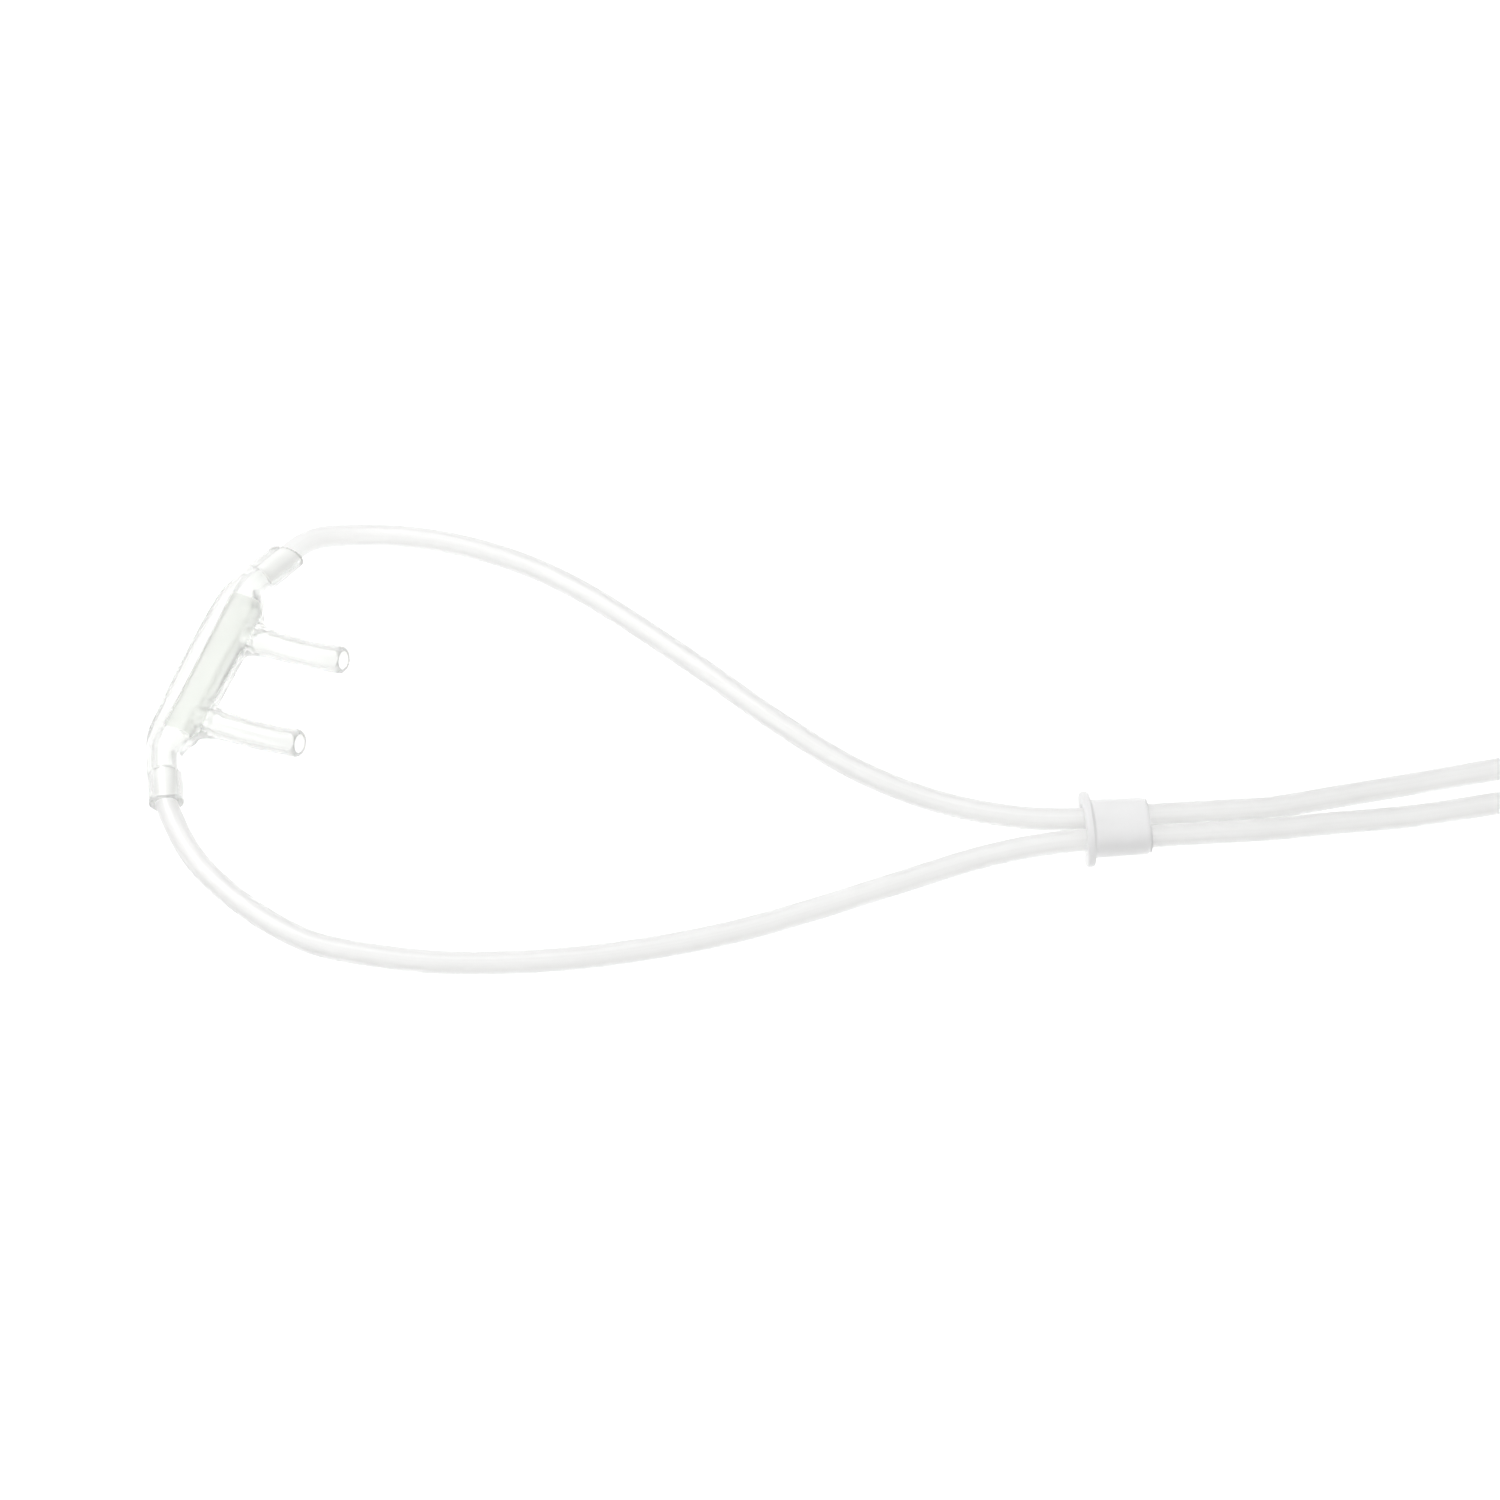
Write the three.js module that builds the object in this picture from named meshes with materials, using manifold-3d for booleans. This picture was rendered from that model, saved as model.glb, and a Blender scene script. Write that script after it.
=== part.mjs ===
// A nasal oxygen cannula lying on a table: the nose piece with its two prongs, a loop of two fine tubes,
// the slider that draws the loop together, the Y connector, and the coiled supply tube with its end
// connector. Millimetres, +Z up. The origin is the middle of the nose piece's flat underside.

import * as THREE from 'three';
import { mergeVertices } from 'three/addons/utils/BufferGeometryUtils.js';
import Module from 'manifold-3d';

const wasm = await Module();
wasm.setup();

// Driving dimensions

const clearance = 0.35;

const lumen = { diameter: 3.7, sides: 8, insertion: 6 };
const supply = { diameter: 5.4, sides: 10 };

const nose = {
  yaw: 70,
  socketLength: 7,
  socketOuter: 5.8,
  near: { bend: 29, neckShare: 0.8 },
  far: { bend: 22, neckShare: 0.25 },
  bodyHalfLength: 14.6,
  neckLength: 5.8,
  wall: 1.0,
  throatRadius: 1.4,
  top: 5.6,
  panelWidth: 4.4,
  panelOffset: 0.9,
  tabReach: 4.85,
  tabEdgeTop: 2.4,
  tabEdgeBottom: 1.9,
  footFar: 3.0,
  footNear: 3.4,
  chamberReach: 4.9,
  shoulder: 4.1,
  heel: 1.5,
  sides: 32,
  throatSides: 16,
  panelShare: 0.86,
  middleLean: 1.4,
  outside: { neck: 0.06, middle: 0.5, shoulder: 0.97 },
  inside: { neck: 0, middle: 0.3, shoulder: 0.85 },
};

const prong = {
  spacing: 17.8,
  reach: 22.4,
  diameter: 4.7,
  bore: 3.2,
  rise: 2.2,
  straight: 8,
  flareWidth: 7.6,
  flareLength: 3.4,
  flareHeight: 0.4,
  flareProfile: [[-0.55, 1], [0, 0.8], [0.3, 0.34], [0.6, 0.1], [1, 0]],
  tipRound: 0.4,
  sides: 24,
  boreSides: 16,
  curveSteps: 6,
  boreSteps: 8,
};

const slider = {
  place: [147.9, -32.3],
  yaw: 3.8,
  flangeWidth: 13.4,
  flangeHeight: 9.0,
  flangeThickness: 1.35,
  bodyWidth: 10.2,
  bodyHeight: 7.6,
  bodyLength: 9.45,
  endTaper: 0.5,
  tubeGap: 0.3,
  boreClearance: 0.35,
  sides: 40,
};

const coil = {
  centre: [256, -60],
  meanRadius: 27,
  pitch: 5.5,
  turnsAcross: 3,
  layers: 4,
  sides: 48,
};

const tie = { angle: 300, width: 6, thickness: 0.4 };

const joiner = {
  place: [282, -102.4],
  length: 26,
  socketSpacing: 5.2,
  wall: 0.9,
  socketDepth: 6.5,
  throatRadius: 1.6,
  sides: 32,
};

const funnel = {
  place: [280, -41],
  length: 38,
  neckOuter: 8.2,
  neckLength: 10,
  mouthOuter: 12,
  mouthBore: 9.2,
  taperBore: 6.6,
  taperStart: 14,
  stepLength: 1,
  passage: 4,
  socketDepth: 9.5,
  rimLength: 2,
  sides: 32,
};

// How far a cut runs past the surface it opens, how finely small bores are made, and the tubes' chords
const overrun = 1;
const boreSides = 24;
const tubeStep = 8;

// Materials

const plastic = (color, roughness, opacity) =>
  new THREE.MeshStandardMaterial({ color, roughness, metalness: 0, transparent: true, opacity });
const clearVinyl = plastic('#e6eae6', 0.25, 0.55);
const noseVinyl = plastic('#d3d9d2', 0.2, 0.6);
const milkyPlastic = plastic('#eef0ee', 0.4, 0.8);
const tieFilm = plastic('#f4f4f2', 0.6, 1);

// Helpers

const radians = (degrees) => (degrees * Math.PI) / 180;

// A closed skin over rings of points, which go anticlockwise as seen from the last ring
function loft(rings) {
  const sides = rings[0].length;
  const last = rings.length - 1;
  const points = rings.flat();
  const faces = [];
  for (let i = 0; i < last; i += 1) {
    for (let k = 0; k < sides; k += 1) {
      const next = (k + 1) % sides;
      const [a, b] = [i * sides + k, i * sides + next];
      const [c, d] = [a + sides, b + sides];
      faces.push(a, b, d, a, d, c);
    }
  }
  for (const [ring, turn] of [[0, -1], [last, 1]]) {
    const middle = new THREE.Vector3();
    rings[ring].forEach((point) => middle.addScaledVector(point, 1 / sides));
    const hub = points.push(middle) - 1;
    for (let k = 0; k < sides; k += 1) {
      const [a, b] = [ring * sides + k, ring * sides + ((k + 1) % sides)];
      faces.push(hub, turn > 0 ? a : b, turn > 0 ? b : a);
    }
  }
  const geometry = new THREE.BufferGeometry().setFromPoints(points);
  geometry.setIndex(faces);
  return geometry;
}

// One ring of points round a centre, across a level heading; radiusAt gives the radius for each angle
function ringAt(centre, heading, sides, radiusAt, pitchUp = 0) {
  const across = new THREE.Vector3(-Math.sin(heading), Math.cos(heading), 0);
  const up = new THREE.Vector3(
    -Math.sin(pitchUp) * Math.cos(heading), -Math.sin(pitchUp) * Math.sin(heading), Math.cos(pitchUp));
  return Array.from({ length: sides }, (_, k) => {
    const angle = (k / sides) * 2 * Math.PI;
    const radius = radiusAt(angle);
    return centre.clone()
      .addScaledVector(across, radius * Math.cos(angle))
      .addScaledVector(up, radius * Math.sin(angle));
  });
}

// Radius of a convex outline of [across, up] corners, in the direction of an angle
function outlineRadius(corners, angle) {
  const [dx, dy] = [Math.cos(angle), Math.sin(angle)];
  let radius = Infinity;
  corners.forEach(([x0, y0], i) => {
    const [x1, y1] = corners[(i + 1) % corners.length];
    const [nx, ny] = [y1 - y0, x0 - x1];
    const facing = nx * dx + ny * dy;
    if (facing > 0) radius = Math.min(radius, (nx * x0 + ny * y0) / facing);
  });
  return radius;
}

const ellipseRadius = (a, b, angle) => (a * b) / Math.hypot(b * Math.cos(angle), a * Math.sin(angle));

// A manifold solid of any closed geometry, placed by an optional matrix
function solid(geometry, matrix) {
  let bare = geometry.clone();
  bare.deleteAttribute('normal');
  bare.deleteAttribute('uv');
  if (matrix) bare.applyMatrix4(matrix);
  bare = mergeVertices(bare, 1e-4);
  return new wasm.Manifold(new wasm.Mesh({
    numProp: 3,
    vertProperties: new Float32Array(bare.attributes.position.array),
    triVerts: new Uint32Array(bare.index.array),
  }));
}

function geometryOf(body) {
  const mesh = body.getMesh();
  const geometry = new THREE.BufferGeometry();
  geometry.setAttribute('position', new THREE.BufferAttribute(mesh.vertProperties, mesh.numProp));
  geometry.setIndex(new THREE.BufferAttribute(mesh.triVerts, 1));
  return geometry;
}

function named(name, geometry, material) {
  const mesh = new THREE.Mesh(geometry, material);
  mesh.name = name;
  return mesh;
}

// A straight round rod from one point along a level heading
function rod(start, heading, length, radius, sides) {
  const towards = new THREE.Vector3(Math.cos(heading), Math.sin(heading), 0);
  const end = start.clone().addScaledVector(towards, length);
  return loft([start, end].map((centre) => ringAt(centre, heading, sides, () => radius)));
}

// A plain round tube along a smooth route
function tube(route, diameter, sides, step) {
  const path = new THREE.CatmullRomCurve3(route.map((p) => new THREE.Vector3(...p)), false, 'centripetal');
  path.arcLengthDivisions = 2000;
  const section = new THREE.Shape(Array.from({ length: sides }, (_, k) => {
    const angle = ((k + 0.5) / sides) * 2 * Math.PI;
    return new THREE.Vector2((diameter / 2) * Math.cos(angle), (diameter / 2) * Math.sin(angle));
  }));
  const steps = Math.round(path.getLength() / step);
  return new THREE.ExtrudeGeometry(section, { steps, extrudePath: path, bevelEnabled: false });
}

// Nose piece: a hollow vinyl body with a flat lip panel on top, a socket at each end, and two prongs

function makeNosePiece() {
  const { sides } = nose;
  const axisHeight = nose.socketOuter / 2;
  const socketRadius = nose.socketOuter / 2;
  const bodyCorners = [
    [nose.tabReach, nose.tabEdgeTop],
    [nose.panelOffset, nose.top],
    [nose.panelOffset - nose.panelWidth, nose.top],
    [-nose.chamberReach, nose.shoulder],
    [-nose.chamberReach, nose.heel],
    [-nose.footNear, 0],
    [nose.footFar, 0],
    [nose.tabReach, nose.tabEdgeBottom],
  ].map(([across, height]) => [across, height - axisHeight]);

  // Stations along the body, from the near socket's mouth to the far one's
  const endOf = (side, { bend, neckShare }) => {
    const outward = side > 0 ? -radians(bend) : Math.PI + radians(bend);
    const towards = new THREE.Vector3(Math.cos(outward), Math.sin(outward), 0);
    const lean = radians(bend) * neckShare;
    const halfway = side > 0 ? -lean : Math.PI + lean;
    const shoulder = new THREE.Vector3(side * nose.bodyHalfLength, 0, axisHeight);
    const neck = shoulder.clone()
      .addScaledVector(new THREE.Vector3(Math.cos(halfway), Math.sin(halfway), 0), nose.neckLength);
    const mouth = neck.clone().addScaledVector(towards, nose.socketLength);
    const middle = shoulder.clone().lerp(neck, 0.5);
    const panelEnd = new THREE.Vector3(shoulder.x * nose.panelShare, 0, axisHeight);
    const along = side > 0 ? outward : outward - Math.PI;
    const inward = outward + Math.PI;
    return { shoulder, panelEnd, middle, neck, mouth, along, halfAlong: along / 2, inward };
  };
  const near = endOf(-1, nose.near);
  const far = endOf(1, nose.far);
  const bodyStations = (blend) => {
    const half = (end) => [
      [end.neck, end.along, blend.neck],
      [end.middle, end.halfAlong * nose.middleLean, blend.middle],
      [end.shoulder, end.halfAlong, blend.shoulder],
      [end.panelEnd, end.halfAlong / 3, 1],
    ];
    return [...half(near), ...half(far).reverse()];
  };
  const nearRim = [near.mouth, near.along, 0];
  const farRim = [far.mouth, far.along, 0];
  const outsideStations = [nearRim, ...bodyStations(nose.outside), farRim];
  const outerRadius = (angle, blend) =>
    socketRadius + blend * (outlineRadius(bodyCorners, angle) - socketRadius);
  let body = solid(loft(outsideStations.map(([centre, heading, blend]) =>
    ringAt(centre, heading, sides, (angle) => outerRadius(angle, blend)))));

  // Prongs: flared where they leave the body, then rising in a gentle curve
  const prongRadius = prong.diameter / 2;
  const foot = nose.chamberReach;
  const drop = -Math.PI / 2;
  const heightAt = (reach) => {
    const past = Math.max(0, reach - prong.straight) / (prong.reach - prong.straight);
    return axisHeight + prong.rise * past * past;
  };
  const slopeAt = (reach) => {
    const length = prong.reach - prong.straight;
    return Math.atan((2 * prong.rise * Math.max(0, reach - prong.straight)) / (length * length));
  };
  for (const side of [-1, 1]) {
    const x = (side * prong.spacing) / 2;
    const ringFor = (reach, wide, tall) =>
      ringAt(new THREE.Vector3(x, -reach, heightAt(reach)), drop, prong.sides,
        (angle) => ellipseRadius(wide, tall, angle), slopeAt(reach));
    const rings = prong.flareProfile.map(([along, share]) => ringFor(
      foot + along * prong.flareLength,
      prongRadius + share * (prong.flareWidth / 2 - prongRadius),
      prongRadius + share * prong.flareHeight,
    ));
    const flareEnd = foot + prong.flareLength;
    for (let i = 1; i <= prong.curveSteps; i += 1) {
      const reach = flareEnd + (i / prong.curveSteps) * (prong.reach - prong.tipRound - flareEnd);
      rings.push(ringFor(reach, prongRadius, prongRadius));
    }
    rings.push(ringFor(prong.reach, prongRadius - prong.tipRound, prongRadius - prong.tipRound));
    body = body.add(solid(loft(rings)));
  }

  // Hollow: sockets, a wide chamber inside the body and the prongs' bores
  const chamberRadius = (angle, blend) => {
    const full = outlineRadius(bodyCorners, angle) - nose.wall;
    return nose.throatRadius + blend * (full - nose.throatRadius);
  };
  body = body.subtract(solid(loft(bodyStations(nose.inside).map(([centre, heading, blend]) =>
    ringAt(centre, heading, sides, (angle) => chamberRadius(angle, blend))))));
  const socketBore = lumen.diameter / 2 + clearance;
  for (const end of [near, far]) {
    const beyond = end.mouth.clone().addScaledVector(end.mouth.clone().sub(end.neck).normalize(), overrun);
    const depth = lumen.insertion + overrun + clearance;
    const throatDepth = nose.socketLength + overrun;
    body = body.subtract(solid(rod(beyond, end.inward, depth, socketBore, boreSides)));
    body = body.subtract(solid(rod(end.mouth, end.inward, throatDepth, nose.throatRadius, nose.throatSides)));
  }
  const boreStart = foot - nose.wall - overrun;
  for (const side of [-1, 1]) {
    const rings = Array.from({ length: prong.boreSteps + 1 }, (_, i) => {
      const reach = boreStart + (i / prong.boreSteps) * (prong.reach + overrun - boreStart);
      const centre = new THREE.Vector3((side * prong.spacing) / 2, -reach, heightAt(reach));
      return ringAt(centre, drop, prong.boreSides, () => prong.bore / 2, slopeAt(reach));
    });
    body = body.subtract(solid(loft(rings)));
  }
  return named('nose_piece', geometryOf(body), noseVinyl);
}

// Slider: an oval sleeve with a wider oval flange, which both fine tubes run through side by side

const tubePitch = lumen.diameter + slider.tubeGap;

function makeSlider() {
  const middle = slider.flangeHeight / 2;
  const ring = (x, wide, tall) =>
    ringAt(new THREE.Vector3(x, 0, middle), 0, slider.sides,
      (angle) => ellipseRadius(wide / 2, tall / 2, angle));
  const edge = slider.endTaper / 2;
  const flangeEnd = slider.flangeThickness;
  const length = flangeEnd + slider.bodyLength;
  const flange = loft([
    ring(0, slider.flangeWidth - edge, slider.flangeHeight - edge),
    ring(edge, slider.flangeWidth, slider.flangeHeight),
    ring(flangeEnd - edge, slider.flangeWidth, slider.flangeHeight),
    ring(flangeEnd, slider.flangeWidth - edge, slider.flangeHeight - edge),
  ]);
  const sleeve = loft([
    ring(flangeEnd / 2, slider.bodyWidth, slider.bodyHeight),
    ring(flangeEnd, slider.bodyWidth, slider.bodyHeight),
    ring(length - edge, slider.bodyWidth - slider.endTaper, slider.bodyHeight - slider.endTaper),
    ring(length, slider.bodyWidth - 2 * slider.endTaper, slider.bodyHeight - 2 * slider.endTaper),
  ]);
  const boreRadius = lumen.diameter / 2 + slider.boreClearance;
  const bore = new THREE.Shape()
    .absarc(tubePitch / 2, 0, boreRadius, -Math.PI / 2, Math.PI / 2)
    .absarc(-tubePitch / 2, 0, boreRadius, Math.PI / 2, (3 * Math.PI) / 2);
  const depth = length + 2 * overrun;
  const curveSegments = slider.sides / 4;
  const boreCut = new THREE.ExtrudeGeometry(bore, { depth, bevelEnabled: false, curveSegments });
  const along = new THREE.Matrix4()
    .makeBasis(new THREE.Vector3(0, 1, 0), new THREE.Vector3(0, 0, 1), new THREE.Vector3(1, 0, 0))
    .setPosition(-overrun, 0, middle);
  const body = solid(flange).add(solid(sleeve)).subtract(solid(boreCut, along));
  return named('slider', geometryOf(body), milkyPlastic);
}

// Y connector: two small sockets side by side at one end, one larger socket at the other

const joinerOuter = supply.diameter + 2 * (clearance + joiner.wall);

function makeJoiner() {
  const middle = joinerOuter / 2;
  const pairHeight = lumen.diameter + 2 * (clearance + joiner.wall);
  const pairWidth = joiner.socketSpacing + pairHeight;
  const ring = (x, wide, tall) =>
    ringAt(new THREE.Vector3(x, 0, middle), Math.PI, joiner.sides,
      (angle) => ellipseRadius(wide / 2, tall / 2, angle));
  const pairEnd = joiner.socketDepth + joiner.wall;
  const singleStart = joiner.length - joiner.socketDepth - joiner.wall;
  let body = solid(loft([
    ring(0, pairWidth + joiner.wall, pairHeight + joiner.wall),
    ring(-pairEnd, pairWidth + joiner.wall, pairHeight + joiner.wall),
    ring(-singleStart, joinerOuter, joinerOuter),
    ring(-joiner.length, joinerOuter, joinerOuter),
  ]));
  body = body.subtract(solid(loft([
    ring(-joiner.socketDepth, joiner.socketSpacing + 2 * joiner.throatRadius, 2 * joiner.throatRadius),
    ring(-joiner.length + joiner.socketDepth, 2 * joiner.throatRadius, 2 * joiner.throatRadius),
  ])));
  const depth = joiner.socketDepth + overrun;
  for (const side of [-1, 1]) {
    const mouth = new THREE.Vector3(overrun, (side * joiner.socketSpacing) / 2, middle);
    body = body.subtract(solid(rod(mouth, Math.PI, depth, lumen.diameter / 2 + clearance, boreSides)));
  }
  const mouth = new THREE.Vector3(-joiner.length - overrun, 0, middle);
  body = body.subtract(solid(rod(mouth, 0, depth, supply.diameter / 2 + clearance, boreSides)));
  return named('y_connector', geometryOf(body), milkyPlastic);
}

// Coil: the outer shape of the wound supply tube, lifted by the tie that passes under it

const coilHalf = (coil.turnsAcross * coil.pitch + supply.diameter) / 2;
const coilInner = coil.meanRadius - coilHalf;
const coilOuter = coil.meanRadius + coilHalf;
const coilBottom = tie.thickness + clearance;
const coilTop = coilBottom + (coil.layers - 1) * coil.pitch + supply.diameter;

function makeCoil() {
  const bevel = supply.diameter / 4;
  const profile = [
    [coilInner, coilBottom + bevel],
    [coilInner + bevel, coilBottom],
    [coilOuter - bevel, coilBottom],
    [coilOuter, coilBottom + bevel],
    [coilOuter, coilTop - bevel],
    [coilOuter - bevel, coilTop],
    [coilInner + bevel, coilTop],
    [coilInner, coilTop - bevel],
    [coilInner, coilBottom + bevel],
  ].map(([radius, height]) => new THREE.Vector2(radius, height));
  const mesh = named('supply_coil', new THREE.LatheGeometry(profile, coil.sides), clearVinyl);
  mesh.rotation.x = Math.PI / 2;
  const upright = new THREE.Group().add(mesh);
  upright.position.set(...coil.centre, 0);
  return upright;
}

// Tie: a thin band closed round the coil's section

function makeTie() {
  const reach = tie.thickness + clearance;
  const chordSag = coilInner - Math.sqrt(coilInner ** 2 - (tie.width / 2) ** 2);
  const inner = coilInner - chordSag - reach;
  const outer = coilOuter + reach;
  const top = coilTop + reach;
  const outline = (inset) => [
    new THREE.Vector2(inner + inset, inset),
    new THREE.Vector2(outer - inset, inset),
    new THREE.Vector2(outer - inset, top - inset),
    new THREE.Vector2(inner + inset, top - inset),
  ];
  const section = new THREE.Shape(outline(0));
  section.holes.push(new THREE.Path(outline(tie.thickness).reverse()));
  const geometry = new THREE.ExtrudeGeometry(section, { depth: tie.width, bevelEnabled: false });
  geometry.translate(0, 0, -tie.width / 2);
  geometry.rotateX(Math.PI / 2);
  const mesh = named('coil_tie', geometry, tieFilm);
  mesh.position.set(...coil.centre, 0);
  mesh.rotation.z = radians(tie.angle);
  return mesh;
}

// End connector: a soft flared funnel that pushes onto the oxygen outlet

const funnelHeight = coilTop + clearance + funnel.mouthOuter / 2;

function makeFunnel() {
  const profile = [
    [supply.diameter / 2 + clearance, 0],
    [funnel.neckOuter / 2, 0],
    [funnel.neckOuter / 2, funnel.neckLength],
    [funnel.mouthOuter / 2, funnel.length - funnel.rimLength],
    [funnel.mouthOuter / 2, funnel.length],
    [funnel.mouthBore / 2, funnel.length],
    [funnel.taperBore / 2, funnel.taperStart],
    [funnel.passage / 2, funnel.taperStart - funnel.stepLength],
    [funnel.passage / 2, funnel.socketDepth],
    [supply.diameter / 2 + clearance, funnel.socketDepth],
    [supply.diameter / 2 + clearance, 0],
  ].map(([radius, along]) => new THREE.Vector2(radius, along));
  const mesh = named('end_connector', new THREE.LatheGeometry(profile, funnel.sides), milkyPlastic);
  mesh.rotation.z = Math.PI;
  mesh.position.set(...funnel.place, funnelHeight);
  return mesh;
}

// Routes of the tubes, chosen by hand. Heights: half a diameter on the table, more in a fitting

const lumenRest = lumen.diameter / 2;
const supplyRest = supply.diameter / 2;
const noseHeight = nose.socketOuter / 2;
const sliderHeight = slider.flangeHeight / 2;
const joinerHeight = joinerOuter / 2;
const topHeight = coilTop + clearance + supply.diameter / 2;

const leftRoute = [
  [8.3, 19.9, noseHeight], [12.2, 24.2, noseHeight], [14.6, 26.6, 2.9], [17.5, 28.3, 2.6], [21.2, 29.1, 2.1],
  [28.0, 29.4, lumenRest], [35.1, 28.7, lumenRest], [42.2, 27.2, lumenRest], [49.3, 24.9, lumenRest],
  [56.5, 21.7, lumenRest], [63.6, 17.5, lumenRest], [70.7, 12.4, lumenRest], [84.6, 1.4, lumenRest],
  [98.3, -10.0, lumenRest], [111.6, -19.5, lumenRest], [124.8, -25.6, 2.0], [137.8, -29.3, 3.3],
  [146.6, -30.38, sliderHeight], [150.5, -30.12, sliderHeight], [174.5, -28.53, sliderHeight],
  [178.4, -28.27, sliderHeight], [190.6, -25.2, 3.1], [203.6, -22.0, lumenRest],
  [218.8, -19.0, lumenRest], [232.0, -16.6, lumenRest], [244.5, -15.2, lumenRest], [256.0, -15.0, lumenRest],
  [271.4, -17.7, lumenRest], [284.9, -25.5, lumenRest], [295.0, -37.5, lumenRest], [300.3, -52.2, lumenRest],
  [301.1, -67.8, lumenRest], [301.0, -84.0, lumenRest], [300.0, -92.6, lumenRest], [297.0, -99.3, 2.5],
  [291.8, -103.6, 3.4], [285.6, -105.0, joinerHeight], [276.4, -105.0, joinerHeight],
];

const rightRoute = [
  [-4.51, -20.49, noseHeight], [-3.57, -26.42, noseHeight], [-2.0, -29.8, 2.7], [-0.2, -33.2, 2.3],
  [2.3, -36.8, lumenRest], [5.9, -40.7, lumenRest], [9.5, -43.9, lumenRest], [14.3, -47.5, lumenRest],
  [18.8, -50.2, lumenRest], [23.8, -52.4, lumenRest], [40.1, -55.3, lumenRest],
  [53.0, -55.6, lumenRest], [65.8, -54.7, lumenRest], [78.7, -52.7, lumenRest], [91.6, -49.7, lumenRest],
  [104.6, -45.5, lumenRest], [117.7, -40.8, lumenRest], [131.0, -36.5, 2.5], [140.0, -34.9, 3.6],
  [147.0, -34.37, sliderHeight], [150.8, -34.12, sliderHeight], [174.7, -32.53, sliderHeight],
  [178.6, -32.27, sliderHeight], [190.2, -30.2, 3.1], [203.0, -28.2, lumenRest],
  [217.9, -25.6, lumenRest], [233.5, -22.5, lumenRest], [245.4, -20.2, lumenRest], [256.0, -18.9, lumenRest],
  [270.0, -21.4, lumenRest], [282.5, -28.5, lumenRest], [291.6, -39.4, lumenRest], [296.5, -52.8, lumenRest],
  [296.8, -67.0, lumenRest], [296.8, -80.0, lumenRest], [296.0, -88.6, lumenRest], [294.0, -94.6, 2.5],
  [290.2, -98.4, 3.4], [285.2, -99.8, joinerHeight], [276.4, -99.8, joinerHeight],
];

const leadRoute = [
  [262.2, -102.4, joinerHeight], [254.0, -102.4, joinerHeight], [247.5, -101.9, 3.3],
  [241.5, -99.9, supplyRest], [236.5, -97.2, supplyRest], [231.8, -93.6, supplyRest],
];

const tailRoute = [
  [226.1, -52.0, topHeight], [234.2, -41.7, topHeight], [244.0, -34.2, topHeight], [253.4, -30.6, topHeight],
  [261.0, -28.0, topHeight], [268.0, -27.2, 26.0], [274.0, -28.8, 26.7], [278.2, -33.0, 27.9],
  [280.0, -38.8, 28.8], [280.0, -42.0, funnelHeight], [280.0, -50.0, funnelHeight],
];

// The whole cannula

const cannula = new THREE.Group();

const nosePlace = new THREE.Group().add(makeNosePiece());
nosePlace.rotation.z = radians(nose.yaw);
cannula.add(nosePlace);

const sliderPlace = new THREE.Group().add(makeSlider());
sliderPlace.position.set(...slider.place, 0);
sliderPlace.rotation.z = radians(slider.yaw);
cannula.add(sliderPlace);

const joinerPlace = new THREE.Group().add(makeJoiner());
joinerPlace.position.set(...joiner.place, 0);
cannula.add(joinerPlace);

cannula.add(makeCoil(), makeTie(), makeFunnel());

cannula.add(
  named('left_tube', tube(leftRoute, lumen.diameter, lumen.sides, tubeStep), clearVinyl),
  named('right_tube', tube(rightRoute, lumen.diameter, lumen.sides, tubeStep), clearVinyl),
  named('supply_lead', tube(leadRoute, supply.diameter, supply.sides, tubeStep), clearVinyl),
  named('supply_tail', tube(tailRoute, supply.diameter, supply.sides, tubeStep), clearVinyl),
);

export default cannula;
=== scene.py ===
# %% [markdown]
# # A nasal oxygen cannula in clear vinyl
#
# This notebook dresses a finished construction model. Every piece already has its real size and place
# in metres, so nothing here is scaled or fitted. What is left to do is what Blender does best: smooth
# mouldings, hollow tubes at their real length, clear plastic, and light that lets it show on white.

# %% Load the fixed frame
import math

import bmesh
import bpy
from mathutils import Matrix, Vector, noise


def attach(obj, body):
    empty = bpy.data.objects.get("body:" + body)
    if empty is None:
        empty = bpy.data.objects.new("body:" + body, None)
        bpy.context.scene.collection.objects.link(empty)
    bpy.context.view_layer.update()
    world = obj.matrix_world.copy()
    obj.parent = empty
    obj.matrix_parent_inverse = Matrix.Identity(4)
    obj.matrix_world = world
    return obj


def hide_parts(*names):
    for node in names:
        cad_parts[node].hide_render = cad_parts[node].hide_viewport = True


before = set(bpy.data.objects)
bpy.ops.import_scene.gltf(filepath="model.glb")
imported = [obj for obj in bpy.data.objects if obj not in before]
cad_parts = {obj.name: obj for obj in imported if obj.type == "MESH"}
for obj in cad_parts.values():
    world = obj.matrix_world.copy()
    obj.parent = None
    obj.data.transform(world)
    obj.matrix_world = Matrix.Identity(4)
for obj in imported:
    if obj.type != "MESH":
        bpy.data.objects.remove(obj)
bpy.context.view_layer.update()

# %% [markdown]
# ## The camera
#
# The photograph looks down on the table at a steep angle, with a short telephoto lens: the far tube is
# only a little thinner than the near one. A level turn round the object isn't needed, because the row's
# X axis already runs along the picture. The camera could be placed by eye, but three numbers say it
# better: the angle above the table, the lens, and how many pixels a millimetre covers at the middle.

# %% Place the camera
PICTURE = 1500
ELEVATION = math.radians(58)
LENS = 70.0
SENSOR = 36.0
PIXELS_PER_MM = 5.92
AIM = Vector((0.0932, -0.0141, 0.0))

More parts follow.
